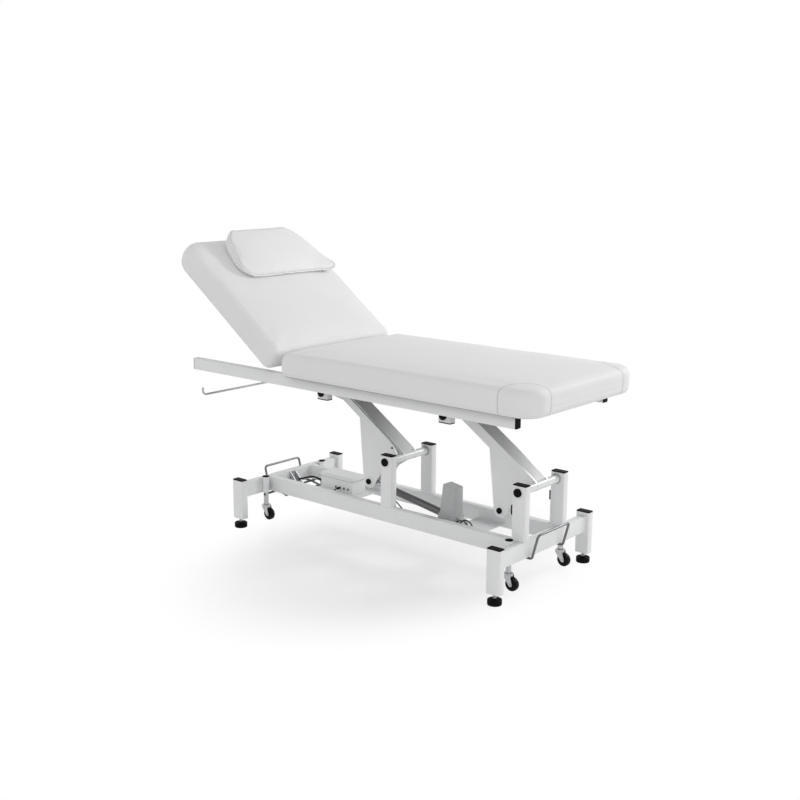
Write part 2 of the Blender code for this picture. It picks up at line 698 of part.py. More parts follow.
def make_arm(number, parent, driven):
    """Lift arm: a flat beam, side plates, two pivot tubes and the upper bolts, welded together."""
    plate = arm_plate()
    inner = ARM_SIDE - ARM_PLATE
    arm = solid(f"lift_arm_{number}", prism(plate, -ARM_SIDE, -inner, "Y"), WHITE_PAINT, parent)
    half = ARM_BEAM_THICKNESS / 2 - WELD / 2
    beam = [
        arm_point(ARM_BEAM_SHORT - ARM_SPAN, -half),
        arm_point(-ARM_BEAM_SHORT, -half),
        arm_point(-ARM_BEAM_SHORT, half),
        arm_point(ARM_BEAM_SHORT - ARM_SPAN, half),
    ]
    tube_half = POST_INNER_Y - CLEAR - BUSH_LENGTH
    top_half = POST_INNER_Y - RUN_CLEAR
    shaft_half = POST_OUTER_Y + RUN_CLEAR + WELD
    top = (ARM_TOP_X, ARM_TOP_Z)
    low = (ARM_LOW_X, ARM_LOW_Z)
    pieces = [
        prism(plate, inner, ARM_SIDE, "Y"),
        prism(beam, -inner - WELD, inner + WELD, "Y"),
        cylinder((0.0, 0.0), PIVOT_TUBE_RADIUS, -tube_half, tube_half, "Y"),
        cylinder(top, PIVOT_TUBE_RADIUS, -top_half, top_half, "Y"),
        cylinder(top, SHAFT_RADIUS, -shaft_half, shaft_half, "Y"),
    ]
    pieces += shaft_heads(top, RUN_CLEAR)
    bolt_faces = {-1: ARM_SIDE, 1: ARM_SIDE}
    if driven:
        plate_low = ARM_SIDE + OUTER_PLATE_GAP
        bolt_faces[-1] = plate_low + ARM_PLATE
        pieces.append(prism(arm_outer_plate(), -plate_low - ARM_PLATE, -plate_low, "Y"))
    for y_sign, face in bolt_faces.items():
        boss = face + PIN_BOSS_HEIGHT
        for radius, start, end in (
            (PIN_BOSS_RADIUS, face - WELD, boss),
            (PIN_HEAD_RADIUS, boss - WELD, boss + PIN_HEAD_THICKNESS),
        ):
            first, last = sorted((y_sign * start, y_sign * end))
            pieces.append(cylinder(low, radius, first, last, "Y"))
    combine(arm, "UNION", pieces)
    bore = cylinder((0.0, 0.0), SHAFT_RADIUS + CLEAR, -POST_INNER_Y, POST_INNER_Y, "Y")
    combine(arm, "DIFFERENCE", [bore])


def make_top_frame(frame):
    """Side tubes, cross members, hinge tube and paper-roll rod, measured from the head arm's upper shaft."""
    low = BRACKET_DROP
    mid = low + SIDE_TUBE_HEIGHT / 2
    shaft_x = HEAD_POST_X - PIVOT_BEFORE_POST + ARM_TOP_X
    spacing = FOOT_POST_X - HEAD_POST_X
    for side, y_sign in SIDES.items():
        centre = (y_sign * SIDE_TUBE_Y, mid)
        profile = rounded_rectangle(SIDE_TUBE_WIDTH, SIDE_TUBE_HEIGHT, TUBE_CORNER, centre)
        tube = prism(profile, FRAME_HEAD_X - shaft_x, FRAME_FOOT_X - shaft_x, "X")
        solid(f"{side}_side_tube", tube, WHITE_PAINT, frame)
    inner = SIDE_TUBE_Y - SIDE_TUBE_WIDTH / 2 - CLEAR
    for end, shaft_at in (("head", 0.0), ("foot", spacing)):
        make_cross_member(frame, end, shaft_at, inner)
    make_hinge_tube(frame, shaft_x, inner)
    make_paper_rod(frame, shaft_x)


def make_cross_member(frame, end, shaft_at, inner):
    """Cross tube with two hanging pivot brackets, cut from the posts' tube and capped like the posts."""
    x = shaft_at + PIVOT_BEFORE_POST
    low = BRACKET_DROP
    middle = (x, low + SIDE_TUBE_HEIGHT / 2)
    profile = rounded_rectangle(CROSS_TUBE_DEPTH, SIDE_TUBE_HEIGHT, TUBE_CORNER, middle)
    cross = solid(f"{end}_cross_member", prism(profile, -inner, inner, "Y"), WHITE_PAINT, frame)
    brackets = []
    holes = []
    for y_sign in SIDES.values():
        centre = (x, y_sign * RAIL_Y)
        outline = rounded_rectangle(POST_DEPTH, RAIL_WIDTH, TUBE_CORNER, centre)
        brackets.append(prism(outline, -PIVOT_FROM_TUBE_END, low + TUBE_CORNER, "Z"))
        depth = POST_DEPTH - WELD
        width = RAIL_WIDTH - WELD
        brackets.append(cap_shape(depth, width, centre, CAP_SEAT - PIVOT_FROM_TUBE_END, -1))
        first, last = sorted((y_sign * (POST_INNER_Y - RAIL_WIDTH), y_sign * (POST_OUTER_Y + RAIL_WIDTH)))
        holes.append(cylinder((shaft_at, 0.0), SHAFT_RADIUS + CLEAR, first, last, "Y"))
    combine(cross, "UNION", brackets)
    combine(cross, "DIFFERENCE", holes)


def make_hinge_tube(frame, shaft_x, inner):
    """Tube between the side tubes that the backrest turns on, with the stay's lower lugs."""
    z = HINGE_Z - PIVOT_Z - ARM_TOP_Z
    x = HINGE_X - shaft_x
    tube = solid("hinge_tube", cylinder((x, z), HINGE_TUBE_RADIUS, -inner, inner, "Y"), WHITE_PAINT, frame)
    foot = (x - STAY_FOOT_BEHIND, z - STAY_FOOT_BELOW)
    lugs = []
    for y_sign in SIDES.values():
        outline = arc(foot, STAY_LUG_ROUND, 180.0, 360.0, LUG_STEPS)
        outline.append((x + HINGE_TUBE_RADIUS * STAY_LUG_FRONT_SHARE, z))
        outline.append((x - HINGE_TUBE_RADIUS * STAY_LUG_BACK_SHARE, z))
        first, last = sorted((y_sign * STAY_LUG_GAP, y_sign * (STAY_LUG_GAP + STAY_LUG_THICKNESS)))
        lugs.append(prism(outline, first, last, "Y"))
    pin_end = STAY_LUG_GAP + WELD
    lugs.append(cylinder(foot, STAY_PIN_RADIUS, -pin_end, pin_end, "Y", ROD_SIDES))
    combine(tube, "UNION", lugs)


def make_paper_rod(frame, shaft_x):
    """Bent rod under the head end: a leg up to the far tube, a level run and a short hook at the near end."""
    x = PAPER_ROD_X - shaft_x
    level = BRACKET_DROP - PAPER_ROD_DROP
    route = [
        (x, SIDE_TUBE_Y, BRACKET_DROP - CLEAR),
        (x, SIDE_TUBE_Y, level),
        (x, PAPER_ROD_NEAR_Y, level),
        (x, PAPER_ROD_NEAR_Y, level + PAPER_ROD_HOOK),
    ]
    solid("paper_roll_rod", rod(route, PAPER_ROD_RADIUS, PAPER_ROD_BEND), GREY_STEEL, frame)


def make_seat(frame):
    """Seat cushion on the side tubes."""
    shaft_x = HEAD_POST_X - PIVOT_BEFORE_POST + ARM_TOP_X
    shape = cushion(
        SEAT_HEAD_X - shaft_x,
        SEAT_FOOT_X - shaft_x,
        CUSHION_HALF_WIDTH,
        SEAT_HEAD_ROUND,
        SEAT_FOOT_ROUND,
        CUSHION_SIDE,
        CUSHION_CROWN,
        CUSHION_EDGE,
        CUSHION_DRAW_IN,
    )
    solid("seat_cushion", shape, LEATHERETTE, frame, (0.0, 0.0, BRACKET_DROP + SIDE_TUBE_HEIGHT + CLEAR))


def make_backrest(back):
    """Backrest frame, cushion and pillow, modelled lying flat about the hinge axis."""
    board = HINGE_BELOW_TUBE_TOP + CLEAR
    bar_low = board - CLEAR - BACK_BAR_SIZE
    frame = None
    pieces = []
    holes = []
    bar_z = (bar_low + board - CLEAR) / 2
    for y_sign in SIDES.values():
        y = y_sign * BACK_BAR_Y
        bar = box((BACK_BAR_REACH, BACK_BAR_SIZE, BACK_BAR_SIZE), (-BACK_BAR_REACH / 2, y, bar_z))
        if frame is None:
            frame = solid("backrest_frame", bar, WHITE_PAINT, back)
        else:
            pieces.append(bar)
        ends = (y - KNUCKLE_LENGTH / 2, y + KNUCKLE_LENGTH / 2)
        pieces.append(cylinder((0.0, 0.0), KNUCKLE_RADIUS, *ends, "Y"))
        cut = (ends[0] - CUT_PAST, ends[1] + CUT_PAST)
        holes.append(cylinder((0.0, 0.0), HINGE_TUBE_RADIUS + CLEAR, *cut, "Y"))
    for x in (-STAY_REACH, -BACK_BAR_REACH + BACK_BAR_SIZE / 2):
        span = 2 * BACK_BAR_Y - BACK_BAR_SIZE + 2 * WELD
        pieces.append(box((STAY_CROSS_SIZE, span, BACK_BAR_SIZE - 2 * WELD), (x, 0.0, bar_z)))
    for y_sign in SIDES.values():
        outline = arc((-STAY_REACH, bar_low - STAY_EYE_BELOW_BAR), STAY_LUG_ROUND, 180.0, 360.0, LUG_STEPS)
        outline += [(-STAY_REACH + STAY_LUG_ROUND, bar_z), (-STAY_REACH - STAY_LUG_ROUND, bar_z)]
        first, last = sorted((y_sign * STAY_LUG_GAP, y_sign * (STAY_LUG_GAP + STAY_LUG_THICKNESS)))
        pieces.append(prism(outline, first, last, "Y"))
    combine(frame, "UNION", pieces)
    combine(frame, "DIFFERENCE", holes)
    shape = cushion(
        -BACK_START - BACK_LENGTH,
        -BACK_START,
        CUSHION_HALF_WIDTH,
        BACK_HEAD_ROUND,
        BACK_FOOT_ROUND,
        BACK_SIDE,
        CUSHION_CROWN,
        CUSHION_EDGE,
        CUSHION_DRAW_IN,
        (BACK_HEAD_EASE, BACK_HEAD_EASE_HEIGHT),
    )
    solid("backrest_cushion", shape, LEATHERETTE, back, (0.0, 0.0, board))
    make_pillow(back, board + BACK_SIDE + CUSHION_CROWN + CLEAR)


def make_pillow(back, rest_z):
    """Loose head pillow: a wedge that narrows to the head end."""
    foot = -PILLOW_START
    head = -PILLOW_START - PILLOW_LENGTH
    verts, faces = cushion(
        head,
        foot,
        PILLOW_FOOT_HALF_WIDTH,
        PILLOW_ROUND,
        PILLOW_ROUND,
        PILLOW_HEAD_SIDE,
        PILLOW_CROWN,
        PILLOW_EDGE,
        PILLOW_DRAW_IN,
    )
    shaped = []
    for x, y, z in verts:
        share = (foot - x) / PILLOW_LENGTH
        width = 1 + (PILLOW_HEAD_HALF_WIDTH / PILLOW_FOOT_HALF_WIDTH - 1) * share
        height = PILLOW_FOOT_SIDE / PILLOW_HEAD_SIDE
        height += (1 - height) * share
        shift = PILLOW_FOOT_SHIFT + (PILLOW_HEAD_SHIFT - PILLOW_FOOT_SHIFT) * share
        shaped.append((x, y * width + shift, z * height))
    solid("head_pillow", (shaped, faces), LEATHERETTE, back, (0.0, 0.0, rest_z))


def make_stay(frame, shaft_x):
    """Ratchet stay that props the backrest: sleeve on the hinge tube's lugs, bar sliding in it."""
    hinge = Vector((HINGE_X - shaft_x, 0.0, HINGE_Z - PIVOT_Z - ARM_TOP_Z))
    foot = hinge + Vector((-STAY_FOOT_BEHIND, 0.0, -STAY_FOOT_BELOW))
    drop = BACK_BAR_SIZE + STAY_EYE_BELOW_BAR - HINGE_BELOW_TUBE_TOP
    flat = Vector((-STAY_REACH, 0.0, -drop))
    cos = math.cos(BACKREST_ANGLE)
    sin = math.sin(BACKREST_ANGLE)
    head = hinge + Vector((flat.x * cos + flat.z * sin, 0.0, flat.z * cos - flat.x * sin))
    span = head - foot
    lean = math.atan2(span.x, span.z)
    axis = pivot("backrest_stay_axis", foot, frame, lean)
    sleeve = solid(
        "stay_sleeve",
        prism(
            rounded_rectangle(STAY_SLEEVE_SIZE, STAY_SLEEVE_SIZE, TUBE_CORNER),
            STAY_EYE_RADIUS / 2,
            STAY_SLEEVE_LENGTH,
            "Z",
        ),
        DARK_STEEL,
        axis,
    )
    half = STAY_SLEEVE_SIZE / 2
    hole = STAY_BAR_SIZE + 2 * RUN_CLEAR
    combine(sleeve, "UNION", [cylinder((0.0, 0.0), STAY_EYE_RADIUS, -half, half, "Y")])
    combine(
        sleeve,
        "DIFFERENCE",
        [
            cylinder((0.0, 0.0), STAY_EYE_BORE, -half - CUT_PAST, half + CUT_PAST, "Y"),
            box((hole, hole, STAY_SLEEVE_LENGTH), (0.0, 0.0, STAY_EYE_RADIUS * 2 + STAY_SLEEVE_LENGTH / 2)),
        ],
    )
    length = span.length
    low = length - STAY_EYE_RADIUS - STAY_BAR_INSIDE
    bar_mid = (low + length) / 2
    bar = solid(
        "stay_bar",
        box((STAY_BAR_SIZE, STAY_BAR_SIZE, length - low), (0.0, 0.0, bar_mid)),
        ZINC,
        axis,
    )
    combine(bar, "UNION", [cylinder((0.0, length), STAY_EYE_RADIUS, -half, half, "Y")])
    eye = cylinder((0.0, length), STAY_EYE_BORE, -half - CUT_PAST, half + CUT_PAST, "Y")
    combine(bar, "DIFFERENCE", [eye])


def make_actuator(base):
    """Linear actuator between the cross plate and the head arm's lower bolt, modelled along its own axis."""
    front = Vector((HEAD_POST_X - PIVOT_BEFORE_POST + ARM_LOW_X, ACT_Y, PIVOT_Z + ARM_LOW_Z))
    rear = Vector((ACT_REAR_X, ACT_Y, ACT_REAR_Z))
    span = front - rear
    axis = pivot("actuator_axis", rear, base, math.atan2(span.x, span.z))
    tube_from = ACT_MOTOR_AT + ACT_FOOT_BASE / 2 + CLEAR
    barrel = cylinder((0.0, 0.0), ACT_TUBE_RADIUS, tube_from, ACT_TUBE_TO, "Z")
    tube = solid("actuator_tube", barrel, DARK_STEEL, axis)
    bore = cylinder((0.0, 0.0), ACT_ROD_RADIUS + RUN_CLEAR, ACT_BORE_FROM, ACT_TUBE_TO + CUT_PAST, "Z")
    combine(tube, "DIFFERENCE", [bore])
    make_motor(axis)
    length = span.length
    bar = cylinder((0.0, 0.0), ACT_ROD_RADIUS, ACT_TUBE_TO - ACT_ROD_INSIDE, length, "Z")
    piston = solid("actuator_rod", bar, ZINC, axis)
    half = ACT_EYE_WIDTH / 2
    combine(piston, "UNION", [cylinder((0.0, length), ACT_EYE_RADIUS, -half, half, "Y")])
    eye = cylinder((0.0, length), ACT_EYE_BORE, -half - CUT_PAST, half + CUT_PAST, "Y")
    combine(piston, "DIFFERENCE", [eye])
    make_actuator_plate(base)


def make_motor(axis):
    """Motor housing across the actuator's axis: tapered tower on a wider gear foot, with the rear lug."""
    sections = []
    for across, size, lean in (
        (-ACT_FOOT_BELOW, ACT_FOOT_BASE, 0.0),
        (ACT_FOOT_TOP, ACT_FOOT_BASE, 0.0),
        (ACT_FOOT_TOP, ACT_MOTOR_BASE, 0.0),
        (ACT_MOTOR_HEIGHT, ACT_MOTOR_TOP, ACT_MOTOR_LEAN),
    ):
        centre = (ACT_MOTOR_AT + lean, 0.0)
        outline = rounded_rectangle(size, size - ACT_MOTOR_NARROWER, ACT_MOTOR_ROUND, centre)
        sections.append([(across, y, z) for z, y in outline])
    motor = solid("actuator_motor", loft(sections), GREY_PLASTIC, axis)
    half = ACT_LUG_WIDTH / 2
    lug = arc((0.0, 0.0), ACT_LUG_RADIUS, 180.0, 360.0, LUG_STEPS)
    lug += [(ACT_LUG_RADIUS, ACT_MOTOR_AT), (-ACT_LUG_RADIUS, ACT_MOTOR_AT)]
    combine(motor, "UNION", [prism(lug, -half, half, "Y")])
    hole = cylinder((0.0, 0.0), ACT_PIN_RADIUS + CLEAR, -ACT_LUG_WIDTH, ACT_LUG_WIDTH, "Y")
    combine(motor, "DIFFERENCE", [hole])


def make_actuator_plate(base):
    """Cross plate between the rails with the clevis and pin of the actuator's rear end."""
    inner = POST_INNER_Y - CLEAR
    length = ACT_PLATE_TO_X - ACT_PLATE_FROM_X
    middle = (ACT_PLATE_TO_X + ACT_PLATE_FROM_X) / 2
    size = (length, 2 * inner, PLATE_THICKNESS)
    plate = solid("actuator_plate", box(size, (middle, 0.0, ACT_PLATE_Z)), WHITE_PAINT, base)
    pieces = []
    half = ACT_LUG_WIDTH / 2 + RUN_CLEAR
    for y_sign in SIDES.values():
        outline = arc((ACT_REAR_X, ACT_REAR_Z), ACT_LUG_RADIUS, 0.0, 180.0, LUG_STEPS)
        outline += [
            (ACT_REAR_X - ACT_CLEVIS_WIDTH / 2, ACT_PLATE_Z),
            (ACT_REAR_X + ACT_CLEVIS_WIDTH / 2, ACT_PLATE_Z),
        ]
        first, last = sorted((y_sign * half, y_sign * (half + ACT_CLEVIS_THICKNESS)))
        pieces.append(prism(outline, ACT_Y + first, ACT_Y + last, "Y"))
    reach = half + ACT_CLEVIS_THICKNESS + ACT_PIN_OVERREACH
    pieces.append(cylinder((ACT_REAR_X, ACT_REAR_Z), ACT_PIN_RADIUS, ACT_Y - reach, ACT_Y + reach, "Y"))
    combine(plate, "UNION", pieces)


def make_control_box(base):
    """Control box with a rimmed lid and a lead socket, on a shelf between the rails."""
    inner = POST_INNER_Y - CLEAR
    shelf_size = (SHELF_LENGTH, 2 * inner, PLATE_THICKNESS)
    shelf_centre = (SHELF_FROM_X + SHELF_LENGTH / 2, 0.0, SHELF_Z)
    solid("box_shelf", box(shelf_size, shelf_centre), WHITE_PAINT, base)
    low = SHELF_Z + PLATE_THICKNESS / 2 + CLEAR
    top = low + BOX_HEIGHT
    centre = (BOX_X, BOX_Y)
    sections = []
    for height, grow in (
        (low, 0.0),
        (top, 0.0),
        (top, LID_OVERHANG),
        (top + LID_HEIGHT - LID_BEVEL, LID_OVERHANG),
        (top + LID_HEIGHT, -LID_OVERHANG),
    ):
        plan = rounded_rectangle(BOX_LENGTH + 2 * grow, BOX_WIDTH + 2 * grow, BOX_ROUND, centre)
        sections.append([(x, y, height) for x, y in plan])
    case = solid("control_box", loft(sections), LIGHT_PLASTIC, base)
    socket_x = BOX_X - BOX_LENGTH / 2 - SOCKET_LENGTH / 2 + BOX_ROUND / 2
    socket_size = (SOCKET_LENGTH + BOX_ROUND, SOCKET_WIDTH, SOCKET_HEIGHT)
    socket = box(socket_size, (socket_x, BOX_Y, low + BOX_HEIGHT / 2))
    combine(case, "UNION", [socket])


def make_caster(base, end, side, x_sign, y_sign):
    """Sliding stem, swivelling fork and wheel."""
    axis = pivot(f"{end}_{side}_caster_axis", (x_sign * GUIDE_X, y_sign * GUIDE_Y, 0.0), base)
    stem = solid(
        f"{end}_{side}_caster_stem",
        cylinder((0.0, 0.0), STEM_RADIUS, STEM_BOTTOM, STEM_TOP, "Z"),
        ZINC,
        axis,
    )
    slot_height = 2 * (PEDAL_ROD_RADIUS + RUN_CLEAR)
    slot = box((2 * STEM_SLOT_HALF, 4 * STEM_RADIUS, slot_height), (0.0, 0.0, PEDAL_BAR_Z))
    combine(stem, "DIFFERENCE", [slot])
    inner = WHEEL_WIDTH / 2 + RUN_CLEAR * 2
    outer = inner + FORK_PLATE
    crown_top = STEM_BOTTOM - CLEAR
    fork = solid(
        f"{end}_{side}_caster_fork",
        cylinder((0.0, 0.0), FORK_CROWN_RADIUS, FORK_CROWN_BOTTOM, crown_top, "Z"),
        ZINC,
        axis,
    )
    outline = arc((CASTER_TRAIL, WHEEL_Z), FORK_TIP_RADIUS, FORK_TIP_FROM, FORK_TIP_TO, LUG_STEPS)
    outline += [
        (FORK_SHOULDER, crown_top - FORK_PLATE),
        (-FORK_SHOULDER, crown_top - FORK_PLATE),
        (-FORK_SHOULDER, FORK_CROWN_BOTTOM),
    ]
    pieces = []
    for fork_sign in SIDES.values():
        first, last = sorted((fork_sign * inner, fork_sign * outer))
        pieces.append(prism(outline, first, last, "Y"))
    axle_end = outer + FORK_PLATE
    pieces.append(cylinder((CASTER_TRAIL, WHEEL_Z), AXLE_RADIUS, -axle_end, axle_end, "Y", ROD_SIDES))
    combine(fork, "UNION", pieces)
    make_wheel(f"{end}_{side}_caster_wheel", axis)


def make_wheel(name, axis):
    """Solid caster wheel with a rounded tread and a raised hub."""
    half = WHEEL_WIDTH / 2
    rim = half - HUB_STEP
    profile = [
        (AXLE_RADIUS + CLEAR, -half),
        (HUB_RADIUS, -half),
        (HUB_RADIUS, -rim),
        (WHEEL_RADIUS - WHEEL_ROUND, -rim),
        (WHEEL_RADIUS, -rim + WHEEL_ROUND),
        (WHEEL_RADIUS, rim - WHEEL_ROUND),
        (WHEEL_RADIUS - WHEEL_ROUND, rim),
        (HUB_RADIUS, rim),
        (HUB_RADIUS, half),
        (AXLE_RADIUS + CLEAR, half),
    ]
    rings = []
    for radius, across in profile + profile[:1]:
        rings.append([(x, across, z) for x, z in circle((0.0, 0.0), radius)])
    verts, faces = loft(rings)
    count = ROUND_SIDES
    body = [face for face in faces if len(face) == 4]
    last = len(profile) * count
    body = [tuple(i - last if i >= last else i for i in face) for face in body]
    solid(name, (verts[:last], body), BLACK_PLASTIC, axis, (CASTER_TRAIL, 0.0, WHEEL_Z))


def make_pedal(base, end, x_sign):
    """Foot pedal: bent rod leaning outside the beam, passing under it to its lift bar and pivot rod."""
    axis = pivot(f"{end}_pedal_axis", (x_sign * PEDAL_PIVOT_X, 0.0, PEDAL_PIVOT_Z), base)
    bar_x = x_sign * PEDAL_LEVER
    bar_z = PEDAL_PIVOT_DROP
    out_x = x_sign * (BEAM_X + BEAM_WIDTH / 2 + 2 * PEDAL_ROD_RADIUS - PEDAL_PIVOT_X)
    top_x = x_sign * (BEAM_X + BEAM_WIDTH / 2 + PEDAL_TOP_OUT - PEDAL_PIVOT_X)
    top_z = PEDAL_TOP_Z - PEDAL_PIVOT_Z
    near = -PEDAL_HALF_WIDTH
    far = PEDAL_HALF_WIDTH
    past_x = -x_sign * PEDAL_LEVER_PAST
    route = [(past_x, near, 0.0), (bar_x, near, bar_z), (out_x, near, bar_z), (top_x, near, top_z)]
    route += [(x, far, z) for x, y, z in reversed(route)]
    loop = rod(route, PEDAL_ROD_RADIUS, PEDAL_BEND)
    pedal = solid(f"{end}_pedal", loop, GREY_STEEL, axis)
    bar_end = GUIDE_Y + PEDAL_BAR_OVERREACH
    pivot_end = PEDAL_HALF_WIDTH + PEDAL_ROD_RADIUS
    bars = [
        cylinder((bar_x, bar_z), PEDAL_ROD_RADIUS, -bar_end, bar_end, "Y", ROD_SIDES),
        cylinder((0.0, 0.0), PEDAL_ROD_RADIUS, -pivot_end, pivot_end, "Y", ROD_SIDES),
    ]
    combine(pedal, "UNION", bars)


def centre_on_floor(base):
    """Move the table along its length, so that the origin is under the middle of its box."""
    bpy.context.view_layer.update()
    pieces = [item for item in bpy.data.objects if item.type == "MESH"]
    lengths = [(item.matrix_world @ vertex.co).x for item in pieces for vertex in item.data.vertices]
    base.location.x -= (min(lengths) + max(lengths)) / 2


def main():
    """Build the table."""
    clear_scene()
    base = pivot("base", (0.0, 0.0, 0.0))
    make_base(base)
    for number, post_x in ((1, HEAD_POST_X), (2, FOOT_POST_X)):
        x = post_x - PIVOT_BEFORE_POST
        make_shaft(base, number, x)
        axis = pivot(f"lift_arm_{number}_axis", (x, 0.0, PIVOT_Z), base)
        make_arm(number, axis, number == 1)
    shaft_x = HEAD_POST_X - PIVOT_BEFORE_POST + ARM_TOP_X
    frame = pivot("top_frame_axis", (shaft_x, 0.0, PIVOT_Z + ARM_TOP_Z), base)
    make_top_frame(frame)
    make_seat(frame)
    hinge_z = HINGE_Z - PIVOT_Z - ARM_TOP_Z
    back = pivot("backrest_axis", (HINGE_X - shaft_x, 0.0, hinge_z), frame, BACKREST_ANGLE)
    make_backrest(back)
    make_stay(frame, shaft_x)
    make_actuator(base)
    make_control_box(base)
    for end, x_sign in ENDS.items():
        make_pedal(base, end, x_sign)
        for side, y_sign in SIDES.items():
            make_caster(base, end, side, x_sign, y_sign)
    centre_on_floor(base)


main()
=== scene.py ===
"""Looks of an electric massage table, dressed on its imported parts.

The padded pieces, covers, sockets, leads, wheels and feet are surfaces worked out here. The steel and plastic
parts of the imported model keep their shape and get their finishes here.
"""

import json
import math

import bmesh
import bpy
import numpy as np
from bpy.props import FloatProperty, FloatVectorProperty, PointerProperty
from mathutils import Matrix, Vector


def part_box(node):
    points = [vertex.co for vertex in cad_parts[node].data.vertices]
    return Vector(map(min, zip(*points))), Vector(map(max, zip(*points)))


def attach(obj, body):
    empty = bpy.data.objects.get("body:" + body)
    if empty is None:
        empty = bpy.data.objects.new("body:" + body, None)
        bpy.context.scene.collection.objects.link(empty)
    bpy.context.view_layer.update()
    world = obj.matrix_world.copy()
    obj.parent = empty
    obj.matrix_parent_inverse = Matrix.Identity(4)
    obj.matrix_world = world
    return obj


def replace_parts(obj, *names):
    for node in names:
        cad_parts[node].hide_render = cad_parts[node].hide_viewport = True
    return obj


bl_info = {
    "name": "Massage table looks",
    "version": (1, 0, 0),
    "blender": (4, 5, 0),
    "location": "View3D > Sidebar > Table",
    "description": "Dresses the packed massage table with padding, finishes, covers and a studio",
    "category": "Object",
}

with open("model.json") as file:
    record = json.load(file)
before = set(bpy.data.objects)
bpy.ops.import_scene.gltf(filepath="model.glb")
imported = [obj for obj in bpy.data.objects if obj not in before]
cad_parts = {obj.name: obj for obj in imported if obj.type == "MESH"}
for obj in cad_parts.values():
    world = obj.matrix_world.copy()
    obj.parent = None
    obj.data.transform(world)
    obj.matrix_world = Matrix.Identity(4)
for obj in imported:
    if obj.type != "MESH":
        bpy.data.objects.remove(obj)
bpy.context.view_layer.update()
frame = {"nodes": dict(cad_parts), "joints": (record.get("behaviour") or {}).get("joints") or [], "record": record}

JOINTS = {joint["name"]: joint for joint in frame["joints"]}
SLOTS = {part["node"]: part["material_slot"] for part in frame["record"]["subparts"]}
CORNERS = [f"{end}_{side}" for end in ("head", "foot") for side in ("near", "far")]
MIDDLE_X = sum(corner.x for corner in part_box("near_rail")) / 2
BACK_TILT = -math.radians(JOINTS["backrest_turn"]["range_deg"][0])
HINGE = np.array(JOINTS["backrest_turn"]["pos_m"])

# Camera, measured from the photograph
CAMERA_PLACE = (2.86115, -3.3204, 1.4975)
CAMERA_YAW = 0.7031
CAMERA_PITCH = 0.2107
CAMERA_ROLL = 0.0058
FOCAL_PIXELS = 1168.02
IMAGE_PIXELS = 800
SENSOR_MM = 36.0

# Lamp at the back of the foot end
KEY_PLACE = (1.6, 2.9, 2.3)
KEY_TARGET = (0.1, 0.0, 0.5)
KEY_SIZE = 0.9

# Floor: a disc, seen white outside an oval round the table
FLOOR_RADIUS = 30.0
FLOOR_INNER = 0.02
FLOOR_RINGS = 24
FLOOR_SIDES = 64
OVAL_SHIFT = (-0.21, 0.16, 0.0)
OVAL_SCALE = (1.43, 1.05, 1.0)
OVAL_FADE = (0.45, 1.05)

# Joining and shading
SHARP_ANGLE = math.radians(34)
WELD_DISTANCE = 1e-5
LINING_EDGE = 0.001
EVEN_STREAK = (40.0, 40.0, 40.0)
PALER = {"paper_roll_rod": "pale_rod"}

# Steps and least sizes of the surfaces
TURN_SIDES = 64
BUSH_SIDES = 48
SOCKET_SIDES = 40
SCREW_SIDES = 32
TUBE_SIDES = 18
PLAN_STEPS = 6
ROUND_STEPS = 6
EDGE_STEPS = 5
DOME_STEPS = 7
PATH_STEPS = 24
PATH_GAP = 0.004
LEAST_RADIUS = 0.0004
LEAST_ARC = 0.0005
TUBE_REFERENCE = (0.36, 0.48, 0.80)

# Padding and sewing
CROWN_ROOM = 0.013
HELD_HEIGHT = 0.02
LOOSE_HEIGHTS = (0.02, 0.06)
TUCK_SHARE = 0.40
SIDE_ROWS = 9
EDGE_ROWS = 7
FOAM_WAVES = 5
FOAM_WAVE_LENGTHS = (0.15, 0.5)
CLOTH_STEPS = 20
CLOTH_PRESSURE = 4.0
CLOTH_STIFFNESS = 25.0
CLOTH_BENDING = 2.0
STITCH_WAVES = 1570.0
STITCH_OFFSET = 0.0036
UNSTITCHED = -0.001
SEAM_WIDTH = 0.0028
CORNER_ALONG = 0.139
CORNER_ACROSS = 0.112
CORNER_CUT = 0.186
CORNER_SHARPNESS = 0.011

# Places of small parts
ARM_SPACING = 0.60165
GUIDE_X = 0.6051
GUIDE_Y = 0.1644
BRACKET_Y = 0.1195
BRACKET_HALF = 0.015
BUFFER_HEIGHTS = (0.272, 0.306)
UPPER_BOLT = (-0.23925, 0.5755)
LOWER_BOLT = (-0.05325, 0.2395)
PLATE_SCREW = (0.0634, 0.0, 0.393)
PEDAL_BOLT_Z = 0.1745
SOCKET_X = (-0.2585, -0.2365, -0.2145, -0.1925)
SOCKET_Z = 0.172
LEAD_CLIP = (0.0925, -0.1045, 0.2085)
MOTOR_EXIT = (0.4025, -0.0735, 0.1635)
COIL_RADIUS = 0.0245
COIL_STEPS = 20


